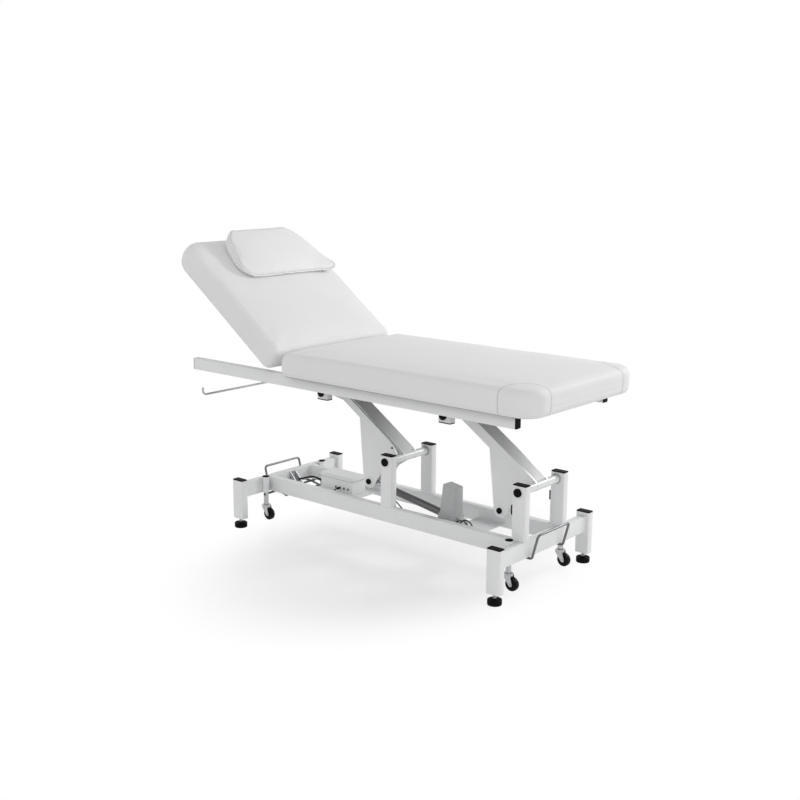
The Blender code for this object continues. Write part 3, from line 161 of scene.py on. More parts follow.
class PaddingSettings(bpy.types.PropertyGroup):
    """Sizes of the padded pieces."""

    cover_colour: FloatVectorProperty(
        name="Cover", description="Leatherette",
        subtype="COLOR", default=(0.845, 0.845, 0.85), min=0, max=1)
    seam_colour: FloatVectorProperty(
        name="Seam", description="Shade inside the sewn seams",
        subtype="COLOR", default=(0.30, 0.30, 0.31), min=0, max=1)
    crown: FloatProperty(
        name="Crown", description="Rise of the seat and backrest at their middle",
        default=0.012, unit="LENGTH")
    edge: FloatProperty(
        name="Edge", description="Radius of the padded top edge", default=0.026, unit="LENGTH")
    draw_in: FloatProperty(
        name="Draw-in", description="How far the cover tucks in under the padding",
        default=0.013, unit="LENGTH")
    puff: FloatProperty(
        name="Puff", description="Most that the cover swells over its foam", default=0.004, unit="LENGTH")
    pillow_puff: FloatProperty(
        name="Pillow puff", description="Most that the pillow's cover swells",
        default=0.0035, unit="LENGTH")
    seam_depth: FloatProperty(
        name="Seam depth", description="Depth of a sewn seam in the cover", default=0.0016, unit="LENGTH")
    lining_colour: FloatVectorProperty(
        name="Lining", description="Non-woven lining under the boards",
        subtype="COLOR", default=(0.032, 0.032, 0.034), min=0, max=1)


class FinishSettings(bpy.types.PropertyGroup):
    """Colours of the hard pieces."""

    paint: FloatVectorProperty(
        name="Paint", description="Powder coat",
        subtype="COLOR", default=(0.83, 0.835, 0.84), min=0, max=1)
    black: FloatVectorProperty(
        name="Black plastic", description="Plugs, caps and feet",
        subtype="COLOR", default=(0.0065, 0.0065, 0.007), min=0, max=1)
    wheel: FloatVectorProperty(
        name="Wheel", description="Caster wheels",
        subtype="COLOR", default=(0.0055, 0.0055, 0.006), min=0, max=1)
    zinc: FloatVectorProperty(
        name="Zinc", description="Plated steel",
        subtype="COLOR", default=(0.50, 0.505, 0.515), min=0, max=1)
    rod: FloatVectorProperty(
        name="Rod", description="Bent rods of the pedals",
        subtype="COLOR", default=(0.17, 0.173, 0.178), min=0, max=1)
    paper_rod: FloatVectorProperty(
        name="Paper rod", description="Bent rod for the paper roll",
        subtype="COLOR", default=(0.52, 0.525, 0.53), min=0, max=1)
    motor: FloatVectorProperty(
        name="Motor", description="Motor housing",
        subtype="COLOR", default=(0.46, 0.465, 0.47), min=0, max=1)
    box: FloatVectorProperty(
        name="Box", description="Control box",
        subtype="COLOR", default=(0.85, 0.855, 0.855), min=0, max=1)
    tube: FloatVectorProperty(
        name="Tube", description="Actuator tube and stay",
        subtype="COLOR", default=(0.15, 0.15, 0.155), min=0, max=1)


class StudioSettings(bpy.types.PropertyGroup):
    """Light and floor."""

    floor: FloatVectorProperty(
        name="Floor", description="Floor", subtype="COLOR", default=(0.95, 0.95, 0.95), min=0, max=1)
    # Painted light: by the table the floor glows this share of white to the camera, which lightens the table's
    # shadow on it.
    floor_glow: FloatProperty(
        name="Floor white", description="Share of plain white in the floor by the table",
        default=0.52, min=0, max=1)
    sky: FloatProperty(
        name="Sky", description="Mean strength of the light all round", default=1.08, min=0)
    slope: FloatVectorProperty(
        name="Slope", description="How the sky brightens towards the foot end, the back and above",
        default=(0.07, -0.065, -0.62))
    key: FloatProperty(
        name="Key", description="Wide lamp at the back of the foot end",
        default=47.0, unit="POWER", min=0)


class LeadSettings(bpy.types.PropertyGroup):
    """Sizes of the free leads."""

    motor_lead: FloatProperty(
        name="Motor lead", description="Diameter of the motor's lead", default=0.0045, unit="LENGTH")
    box_lead: FloatProperty(
        name="Box lead", description="Diameter of the lead at the head end of the box",
        default=0.0075, unit="LENGTH")


def settings():
    """The groups of settings of the open scene."""
    return [getattr(bpy.context.scene, name) for name in GROUPS]


class Signal:
    """An output socket that takes part in Python expressions; each operation adds a Math node."""

    def __init__(self, nodes, socket):
        self.nodes = nodes
        self.socket = socket

    def maths(self, operation, first, second=0.0):
        return self.nodes.node("ShaderNodeMath", {"operation": operation}, {0: first, 1: second})

    def __add__(self, other):
        return self.maths("ADD", self, other)

    def __radd__(self, other):
        return self.maths("ADD", other, self)

    def __sub__(self, other):
        return self.maths("SUBTRACT", self, other)

    def __rsub__(self, other):
        return self.maths("SUBTRACT", other, self)

    def __mul__(self, other):
        return self.maths("MULTIPLY", self, other)

    def __abs__(self):
        return self.maths("ABSOLUTE", self)


class Nodes:
    """A node tree whose nodes all come from one method."""

    def __init__(self, tree):
        self.tree = tree

    def feed(self, socket, value):
        """Link a signal to a socket, or set a plain value on it."""
        if isinstance(value, Signal):
            self.tree.links.new(value.socket, socket)
        else:
            socket.default_value = value

    def node(self, kind, set_first=None, sockets=None, output=0):
        """Add a node, set its own settings, then feed its sockets; returns one of its outputs."""
        made = self.tree.nodes.new(kind)
        for key, value in (set_first or {}).items():
            setattr(made, key, value)
        for key, value in (sockets or {}).items():
            self.feed(made.inputs[key], value)
        return Signal(self, made.outputs[output]) if made.outputs else None


class Finish(Nodes):
    """One procedural material on the Principled shader."""

    def __init__(self, name, **fixed):
        self.material = bpy.data.materials.new(name)
        self.material.use_nodes = True
        super().__init__(self.material.node_tree)
        self.shader = self.tree.nodes["Principled BSDF"]
        self.place = self.node("ShaderNodeTexCoord", output="Object")
        for socket, value in fixed.items():
            self.feed(self.shader.inputs[socket.replace("_", " ")], value)

    def noise(self, scale, detail=2.0, roughness=0.5):
        """Noise over the piece, from 0 to 1."""
        return self.node("ShaderNodeTexNoise", None, {
            "Vector": self.place, "Scale": scale, "Detail": detail, "Roughness": roughness})

    def cells(self, scale, feature="DISTANCE_TO_EDGE"):
        """Cell pattern over the piece."""
        return self.node("ShaderNodeTexVoronoi", {"feature": feature}, {"Vector": self.place, "Scale": scale})

    def step(self, value, low, high, to_low=0.0, to_high=1.0):
        """Smooth step of a value between two limits."""
        return self.node("ShaderNodeMapRange", {"interpolation_type": "SMOOTHSTEP"}, {
            "Value": value, "From Min": low, "From Max": high, "To Min": to_low, "To Max": to_high})

    def tint(self, share, first, second):
        """Mix of two colours."""
        return self.node("ShaderNodeMix", {"data_type": "RGBA"}, {0: share, 6: first, 7: second}, 2)

    def bump(self, height, strength, distance, below=None):
        """Relief that feeds the shader's normal; below is a relief that this one lies on."""
        sockets = {"Strength": strength, "Distance": distance, "Height": height}
        if below is not None:
            sockets["Normal"] = below
        return self.node("ShaderNodeBump", None, sockets)

    def attribute(self, name):
        """A value that the piece's mesh carries."""
        return self.node("ShaderNodeAttribute", {"attribute_name": name}, None, "Fac")

    def shade(self, **sockets):
        """Feed what varies over the surface to the shader, and return the material."""
        for socket, value in sockets.items():
            self.feed(self.shader.inputs[socket.replace("_", " ")], value)
        return self.material


def rgba(colour, share=1.0):
    """A colour with alpha, brightened or darkened by a share."""
    return (*(min(1.0, value * share) for value in colour), 1.0)


def make_leatherette(name, seam=False):
    """Soft white leatherette: fine pebbled grain, slow change of sheen, and the shade of sewn seams."""
    padding = settings()[0]
    cover, shade = padding.cover_colour, rgba(padding.seam_colour)
    look = Finish(name, Specular_IOR_Level=0.24, Sheen_Weight=0.12, Sheen_Roughness=0.45)
    slow = look.noise(5.0, 3.0)
    pebble = look.cells(760.0)
    crease = look.noise(240.0, 4.0, 0.6)
    colour = look.tint(look.step(slow, 0.3, 0.7), rgba(cover, 0.985), rgba(cover, 1.012))
    colour = look.tint(look.step(pebble, 0.0, 0.18), rgba(cover, 0.95), colour)
    grain = look.bump(look.step(pebble, 0.0, 0.35) * 0.7 + crease * 0.5, 0.10, 0.0006)
    if seam:
        distance = abs(look.attribute("seam_distance"))
        run = look.attribute("seam_along") * STITCH_WAVES
        line = look.step(distance, 0.0004, 0.0019, 1.0, 0.0)
        beside = look.step(abs(distance - STITCH_OFFSET), 0.0004, 0.0011, 1.0, 0.0)
        holes = look.step(run.maths("SINE", run), 0.2, 0.9) * beside
        colour = look.tint(line * 0.62, colour, shade)
        colour = look.tint(holes * 0.22, colour, shade)
        grain = look.bump(1.0 - line - holes * 0.4, 0.4, 0.0009, grain)
    return look.shade(Base_Color=colour, Roughness=0.56 + look.noise(38.0) * 0.10, Normal=grain)


def make_lining():
    """Dark non-woven lining: fine crossed fibres, with thin and thick spots."""
    colour = settings()[0].lining_colour
    look = Finish("lining", Specular_IOR_Level=0.1, Sheen_Weight=0.15, Sheen_Roughness=0.6)
    along = look.node("ShaderNodeMapping", None, {"Vector": look.place, "Scale": (900.0, 120.0, 400.0)})
    fibre = look.node("ShaderNodeTexNoise", None, {"Vector": along, "Scale": 1.0, "Detail": 3.0})
    patch = look.noise(26.0, 4.0, 0.6)
    shade = look.tint(look.step(patch, 0.3, 0.7), rgba(colour, 0.8), rgba(colour, 1.25))
    shade = look.tint(look.step(fibre, 0.55, 0.7) * 0.4, shade, rgba(colour, 1.9))
    return look.shade(Base_Color=shade, Roughness=0.82 + patch * 0.12, Normal=look.bump(fibre, 0.3, 0.0005))


def make_paint():
    """Satin powder coat: slight orange peel, a cloudy sheen and a little dust on it."""
    paint = settings()[1].paint
    look = Finish("powder_coat", Specular_IOR_Level=0.5)
    peel = look.noise(620.0, 2.0)
    cloud = look.noise(7.0, 3.0)
    speck = look.cells(210.0, "F1")
    colour = look.tint(look.step(cloud, 0.3, 0.75), rgba(paint, 0.982), rgba(paint, 1.01))
    colour = look.tint(look.step(speck, 0.02, 0.07, 0.14, 0.0), colour, rgba(paint, 0.75))
    return look.shade(Base_Color=colour, Roughness=0.20 + cloud * 0.10, Normal=look.bump(peel, 0.06, 0.0003))


def make_plastic(name, colour, rough, grit, shine=0.45, coat=0.0):
    """Moulded plastic: spark-eroded grit, with scuffs a little paler and rougher than the rest."""
    look = Finish(name, Specular_IOR_Level=shine, Coat_Weight=coat, Coat_Roughness=0.2)
    fine = look.noise(grit, 2.0)
    scuff = look.step(look.noise(55.0, 5.0, 0.7), 0.56, 0.74)
    shade = look.tint(scuff * 0.5, rgba(colour), rgba(colour, 1.35))
    return look.shade(Base_Color=shade, Roughness=rough + scuff * 0.12 + fine * 0.06,
                      Normal=look.bump(fine, 0.16, 0.0004))


def make_steel(name, colour, metal, rough, streak=(6.0, 6.0, 180.0)):
    """Plated or painted steel: faint drawn streaks and a mottled gloss."""
    look = Finish(name, Metallic=metal, Specular_IOR_Level=0.5)
    drawn = look.node("ShaderNodeMapping", None, {"Vector": look.place, "Scale": streak})
    lines = look.node("ShaderNodeTexNoise", None, {"Vector": drawn, "Scale": 8.0, "Detail": 3.0})
    mottle = look.noise(90.0, 3.0)
    shade = look.tint(look.step(mottle, 0.3, 0.7), rgba(colour, 0.92), rgba(colour, 1.06))
    return look.shade(Base_Color=shade, Roughness=rough + lines * 0.14 + mottle * 0.06,
                      Normal=look.bump(lines, 0.08, 0.0003))


LOOKS = {}


def make_looks():
    """Make every finish once; most go by the record's slot names."""
    finish = settings()[1]
    LOOKS["leatherette"] = make_leatherette("leatherette")
    LOOKS["sewn_leatherette"] = make_leatherette("sewn_leatherette", True)
    LOOKS["lining"] = make_lining()
    LOOKS["white_powder_coat"] = make_paint()
    LOOKS["black_plastic"] = make_plastic("black_plastic", finish.black, 0.48, 900.0, 0.05)
    LOOKS["wheel_plastic"] = make_plastic("wheel_plastic", finish.wheel, 0.36, 700.0, 0.10, 0.03)
    LOOKS["light_plastic"] = make_plastic("light_plastic", finish.box, 0.42, 1100.0)
    LOOKS["grey_plastic"] = make_plastic("grey_plastic", finish.motor, 0.45, 950.0)
    LOOKS["dark_steel"] = make_steel("dark_steel", finish.tube, 0.45, 0.26)
    LOOKS["zinc"] = make_steel("zinc", finish.zinc, 0.92, 0.26)
    LOOKS["grey_rod"] = make_steel("grey_rod", finish.rod, 0.85, 0.26, EVEN_STREAK)
    LOOKS["pale_rod"] = make_steel("pale_rod", finish.paper_rod, 0.6, 0.30, EVEN_STREAK)
    LOOKS["cable"] = make_plastic("cable_sheath", finish.black, 0.5, 1500.0, 0.2)


def shade_rounded():
    """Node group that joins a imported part's loose triangles and shades its curved faces smoothly."""
    tree = bpy.data.node_groups.new("join_and_shade", "GeometryNodeTree")
    tree.interface.new_socket("Geometry", in_out="INPUT", socket_type="NodeSocketGeometry")
    tree.interface.new_socket("Geometry", in_out="OUTPUT", socket_type="NodeSocketGeometry")
    nodes = Nodes(tree)
    part = nodes.node("NodeGroupInput")
    part = nodes.node("GeometryNodeMergeByDistance", None, {"Geometry": part, "Distance": WELD_DISTANCE})
    part = nodes.node("GeometryNodeRemoveAttribute", None, {"Geometry": part, "Name": "custom_normal"})
    part = nodes.node("GeometryNodeSetShadeSmooth", None, {"Geometry": part})
    angle = nodes.node("GeometryNodeInputMeshEdgeAngle", output="Unsigned Angle")
    wide = nodes.node("FunctionNodeCompare", {"operation": "GREATER_THAN"}, {0: angle, 1: SHARP_ANGLE})
    part = nodes.node("GeometryNodeSetShadeSmooth", {"domain": "EDGE"}, {
        "Geometry": part, "Selection": wide, "Shade Smooth": False})
    nodes.node("NodeGroupOutput", None, {0: part})
    return tree


def quads(rows, count):
    """Corner numbers of the quads between neighbouring closed rings of a grid."""
    number = np.arange(rows * count).reshape(rows, count)
    ahead = np.roll(number, -1, axis=1)
    return np.stack([number[:-1], ahead[:-1], ahead[1:], number[1:]], axis=-1).reshape(-1, 4)


def shell(rings):
    """Closed skin over a stack of rings, each end closed by one face."""
    rows, count = rings.shape[:2]
    ends = [tuple(range(count)), tuple(range((rows - 1) * count, rows * count))]
    return rings.reshape(-1, 3), quads(rows, count).tolist() + ends


def hoop(rings):
    """Closed skin over a ring of rings, such as a bush or a wheel with its bore."""
    rows, count = rings.shape[:2]
    return rings.reshape(-1, 3), (quads(rows + 1, count) % (rows * count)).tolist()


def turned(profile, centre, axis, sides=TURN_SIDES):
    """Rings of a turned shape: each (radius, height) of the profile is swept round the axis at the centre."""
    profile = np.asarray(profile, float)
    axis = np.asarray(axis, float) / np.linalg.norm(axis)
    side = np.cross(axis, (0.0, 0.0, 1.0) if abs(axis[2]) < 0.9 else (1.0, 0.0, 0.0))
    side /= np.linalg.norm(side)
    angle = np.linspace(0, 2 * np.pi, sides, endpoint=False)
    round_way = np.cos(angle)[:, None] * side + np.sin(angle)[:, None] * np.cross(axis, side)
    return np.asarray(centre) + profile[:, :1, None] * round_way + profile[:, 1:, None] * axis


def rounded_plan(half_x, half_y, radius):
    """Rounded rectangle: a quarter circle of the radius at each corner, and straight runs between them."""
    angle = np.linspace(0, np.pi / 2, PLAN_STEPS + 1)
    turn = np.concatenate([angle + quarter * np.pi / 2 for quarter in range(4)])
    sign_x = np.repeat([1, -1, -1, 1], PLAN_STEPS + 1)
    sign_y = np.repeat([1, 1, -1, -1], PLAN_STEPS + 1)
    x = sign_x * (half_x - radius) + radius * np.cos(turn)
    y = sign_y * (half_y - radius) + radius * np.sin(turn)
    return np.stack([x, y], axis=1)


def block(low, high, radius, edge, axis=2):
    """Rings of a block with rounded corners along one axis and quarter-round edges at both ends of it."""
    low, high = np.asarray(low, float), np.asarray(high, float)
    across = [i for i in range(3) if i != axis]
    angle = np.linspace(0, np.pi / 2, EDGE_STEPS + 1)
    inset = np.concatenate([edge * (1 - np.sin(angle)), edge * (1 - np.cos(angle))])
    level = np.concatenate([low[axis] + edge * (1 - np.cos(angle)), high[axis] - edge * (1 - np.sin(angle))])
    half = (high - low)[across] / 2
    middle = (high + low)[across] / 2
    rows = [rounded_plan(half[0] - d, half[1] - d, max(radius - d, LEAST_RADIUS)) + middle for d in inset]
    rings = np.zeros((len(rows), rows[0].shape[0], 3))
    rings[..., across] = np.stack(rows)
    rings[..., axis] = level[:, None]
    return rings


def new_mesh(name, points, faces):
    """Mesh of points and faces."""
    mesh = bpy.data.meshes.new(name)
    mesh.from_pydata(points.tolist(), [], faces)
    return mesh


def add(name, data):
    """Put an object with this data into the scene."""
    made = bpy.data.objects.new(name, data)
    bpy.context.scene.collection.objects.link(made)
    return made


def put(name, shells, look, body):
    """Make one object of closed skins, facing outwards and shaded smooth up to an angle, riding on a body."""
    points, faces, start = [], [], 0
    for skin_points, skin_faces in shells:
        points.append(skin_points)
        faces += [tuple(corner + start for corner in face) for face in skin_faces]
        start += len(skin_points)
    mesh = new_mesh(name, np.concatenate(points), faces)
    draft = bmesh.new()
    draft.from_mesh(mesh)
    bmesh.ops.recalc_face_normals(draft, faces=draft.faces)
    draft.to_mesh(mesh)
    draft.free()
    mesh.shade_smooth()
    mesh.set_sharp_from_angle(angle=SHARP_ANGLE)
    mesh.materials.append(LOOKS[look])
    made = add(name, mesh)
    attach(made, body)
    return made


def climb_of(profile):
    """Distance up a profile of (inset, height) rows, at each row."""
    return np.concatenate([[0.0], np.cumsum(np.hypot(*np.diff(profile, axis=0).T))])


class Padding:
    """A padded slab in its own flat axes: x along it, y across it and z up from its board.

    Its top and bottom are grids whose border is a rounded rectangle. Between arcs of round_low and round_high
    at the two ends, the border runs straight. Any inset keeps the arcs' centres, so that borders at different
    insets match point by point, and the side is the stack of those borders along a profile of insets.
    """

    def __init__(self, low, high, half_width, round_low, round_high, along, across, corner):
        self.low, self.high, self.half = low, high, half_width
        self.rounds = round_low, round_high
        self.share = along
        turn = np.linspace(0, np.pi / 2, corner + 1)
        flat = across[1:-1]
        self.sin = np.concatenate([-np.sin(turn[::-1]), np.zeros(len(flat)), np.sin(turn)])
        self.cos = np.concatenate([np.cos(turn[::-1]), np.ones(len(flat)), np.cos(turn)])
        self.flat = np.concatenate([np.full(corner + 1, -1.0), flat, np.full(corner + 1, 1.0)])

    def plan(self, inset):
        """Grid (along, across, 2) drawn in by an inset: ends follow the arcs, points between are mixed."""
        ends = []
        for sign, limit, radius in zip((1, -1), (self.low, self.high), self.rounds):
            reach = max(radius - inset, LEAST_ARC)
            centre = limit + sign * (inset + reach)
            x = centre - sign * reach * self.cos
            y = self.flat * (self.half - inset - reach) + reach * self.sin
            ends.append(np.stack([x, y], axis=-1))
        share = self.share[:, None, None]
        return ends[0] * (1 - share) + ends[1] * share

    def border(self, grid):
        """The grid's outer points, once round."""
        return np.concatenate([grid[-1, :-1], grid[:0:-1, -1], grid[0, :0:-1], grid[:-1, 0]])

    def skin(self, profile, top_height):
        """Points, quads and each point's distance up the profile, for a profile of (inset, height) rows."""
        profile = np.asarray(profile, float)
        bottom = self.plan(profile[0, 0])
        top = self.plan(profile[-1, 0])
        rows, columns = bottom.shape[:2]
        climb = climb_of(profile)
        side = np.stack([self.border(self.plan(inset)) for inset in profile[1:-1, 0]])
        height = np.broadcast_to(profile[1:-1, 1:, None], side.shape[:2] + (1,))
        points = np.concatenate([
            np.concatenate([bottom, np.full((rows, columns, 1), profile[0, 1])], axis=-1).reshape(-1, 3),
            np.concatenate([side, height], axis=-1).reshape(-1, 3),
            np.concatenate([top, top_height(top)[..., None]], axis=-1).reshape(-1, 3),
        ])
        cells = rows * columns
        loop = side.shape[1]
        number = np.arange(cells).reshape(rows, columns)
        grid = np.stack([number[:-1, :-1], number[1:, :-1], number[1:, 1:], number[:-1, 1:]], axis=-1)
        grid = grid.reshape(-1, 4)
        upper = cells + loop * len(side)
        loops = [self.border(number)]
        loops += list(cells + np.arange(loop * len(side)).reshape(-1, loop))
        loops += [self.border(number) + upper]
        rings = np.stack(loops)
        ahead = np.roll(rings, -1, axis=1)
        walls = np.stack([rings[:-1], ahead[:-1], ahead[1:], rings[1:]], axis=-1).reshape(-1, 4)
        faces = np.concatenate([grid[:, ::-1], walls, grid + upper])
        up = np.concatenate([np.zeros(cells), np.repeat(climb[1:-1], loop), np.full(cells, climb[-1])])
        return points, faces, up


def slab_profile(side, edge, draw_in):
    """Insets and heights up a padded side: a parabola out of the tuck, a wall, then a quarter round."""
    height = np.linspace(0, side - edge, SIDE_ROWS)
    inset = draw_in * np.clip(1 - height / (TUCK_SHARE * side), 0, 1) ** 2
    angle = np.linspace(0, np.pi / 2, EDGE_ROWS + 1)[1:]
    arc = np.stack([edge * (1 - np.cos(angle)), side - edge + edge * np.sin(angle)], axis=1)
    return np.concatenate([np.stack([inset, height], axis=1), arc])


def spread(*runs):
    """Shares from 0 to 1 in runs of (end, steps), each evenly divided."""
    shares, start = [np.zeros(1)], 0.0
    for end, steps in runs:
        shares.append(np.linspace(start, end, steps + 1)[1:])
        start = end
    return np.concatenate(shares)


def waves(points, size, seed):
    """Slow unevenness of foam: a sum of plane waves of fixed pseudo-random lengths and directions."""
    draw = np.random.default_rng(seed)
    direction = draw.normal(size=(FOAM_WAVES, 2))
    direction /= np.linalg.norm(direction, axis=1, keepdims=True)
    number = 2 * np.pi / draw.uniform(*FOAM_WAVE_LENGTHS, FOAM_WAVES)
    phase = draw.uniform(0, 2 * np.pi, FOAM_WAVES)
    return size * np.sin(points[:, :2] @ (direction.T * number) + phase).sum(axis=1) / FOAM_WAVES


def swell(points, faces, held, cap):
    """Blow the cover up over its foam as cloth, pinned where it is held, and no further than the cap."""
    scene = bpy.context.scene
    mesh = new_mesh("swelling", points, faces.tolist())
    cover = add("swelling", mesh)
    cover.vertex_groups.new(name="held").add(np.flatnonzero(held).tolist(), 1.0, "REPLACE")
    cloth = cover.modifiers.new("cover", "CLOTH")
    cloth.settings.quality = 5
    cloth.settings.use_pressure = True
    cloth.settings.uniform_pressure_force = CLOTH_PRESSURE
    cloth.settings.effector_weights.gravity = 0.0
    cloth.settings.vertex_group_mass = "held"
    cloth.settings.tension_stiffness = CLOTH_STIFFNESS
    cloth.settings.compression_stiffness = CLOTH_STIFFNESS
    cloth.settings.bending_stiffness = CLOTH_BENDING
    cloth.collision_settings.use_collision = False
    cloth.point_cache.frame_start = 1
    cloth.point_cache.frame_end = CLOTH_STEPS
    for step in range(1, CLOTH_STEPS + 1):
        scene.frame_set(step)
    shaped = cover.evaluated_get(bpy.context.evaluated_depsgraph_get()).to_mesh()
    moved = np.zeros(len(points) * 3)
    shaped.vertices.foreach_get("co", moved)
    move = moved.reshape(-1, 3) - points
    length = np.linalg.norm(move, axis=1, keepdims=True)
    bpy.data.objects.remove(cover)
    bpy.data.meshes.remove(mesh)
    scene.frame_set(1)
    return points + move * np.minimum(1.0, cap / np.maximum(length, 1e-9))


def finer(points, faces, up):
    """Subdivide a cover once; returns points, faces and each point's distance up the side."""
    mesh = new_mesh("cover", points, faces.tolist())
    mesh.attributes.new("up", "FLOAT", "POINT").data.foreach_set("value", up.astype(np.float32))
    cover = add("cover", mesh)
    smooth = cover.modifiers.new("smooth", "SUBSURF")
    smooth.levels = smooth.render_levels = 1
    made = cover.evaluated_get(bpy.context.evaluated_depsgraph_get()).to_mesh()
    fine = np.zeros(len(made.vertices) * 3)
    made.vertices.foreach_get("co", fine)
    corner = np.zeros(len(made.loops), np.int32)
    made.loops.foreach_get("vertex_index", corner)
    climbed = np.zeros(len(made.vertices), np.float32)
    made.attributes["up"].data.foreach_get("value", climbed)
    bpy.data.objects.remove(cover)
    bpy.data.meshes.remove(mesh)
    return fine.reshape(-1, 3), corner.reshape(-1, 4), climbed.astype(float)


def face_normals(points, faces):
    """Outward normal at each point: the sum of the cross products of its quads' diagonals."""
    corner = points[faces]
    cross = np.cross(corner[:, 2] - corner[:, 0], corner[:, 3] - corner[:, 1])
    sums = [np.bincount(faces.ravel(), np.repeat(cross[:, k], 4), len(points)) for k in range(3)]
    normal = np.stack(sums, axis=1)
    return normal / np.maximum(np.linalg.norm(normal, axis=1, keepdims=True), 1e-12)


def upholster(slab, side, deep, back, run, corners=None):
    """Cover of a slab, swelled over its foam: returns points, faces, distances up the side and normals.

    Over its side's height, the top rises by the crown times (1 - y squared)(1 - x to the sixth), with x and y
    from -1 to 1. The low end's top edge is drawn back along a quarter ellipse that reaches deep down the side
    and fades out over the run. With corners, a pair of distances from the sides, it fades between them too.
    """
    padding = settings()[0]

    def top(plan):
        along = (plan[..., 0] - slab.low) / (slab.high - slab.low) * 2 - 1
        return side + padding.crown * (1 - (plan[..., 1] / slab.half) ** 2) * (1 - along ** 6)

    points, faces, up = slab.skin(slab_profile(side, padding.edge, padding.draw_in), top)
    climb = np.clip(1 - (side - points[:, 2]) / deep, 0, 1)
    ease = back * (1 - np.sqrt(1 - climb ** 2))
    if corners:
        ease *= smooth_step(np.abs(points[:, 1]), slab.half - corners[0], slab.half - corners[1])
    points[:, 0] += ease * (1 - smooth_step(points[:, 0], slab.low, slab.low + run))
    points = swell(points, faces, up < HELD_HEIGHT, padding.puff)
    points, faces, up = finer(points, faces, up)
    return points, faces, up, face_normals(points, faces)


def put_cover(name, points, faces, look, body, node, up, values=None):
    """Make one padded object from its cover, lined underneath, with the values that its finish reads."""
    mesh = new_mesh(name, points, faces.tolist())
    for key, value in (values or {}).items():
        mesh.attributes.new(key, "FLOAT", "POINT").data.foreach_set("value", value.astype(np.float32))
    mesh.shade_smooth()
    mesh.materials.append(LOOKS[look])
    mesh.materials.append(LOOKS["lining"])
    mesh.polygons.foreach_set("material_index", (up[faces].max(axis=1) < LINING_EDGE).astype(np.int32))
    made = add(name, mesh)
    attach(made, body)
    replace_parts(made, node)


def smooth_step(value, low, high):
    """Cubic step from 0 at low to 1 at high."""
    share = np.clip((value - low) / (high - low), 0, 1)
    return share * share * (3 - 2 * share)


def seen_ray(nodes):
    """1 for a ray from the camera, a reflection or a see-through surface, otherwise 0."""
    seen = nodes.node("ShaderNodeLightPath", output="Is Camera Ray")
    for kind in ("Is Glossy Ray", "Is Transmission Ray"):
        seen = seen.maths("MAXIMUM", seen, nodes.node("ShaderNodeLightPath", output=kind))
    return seen


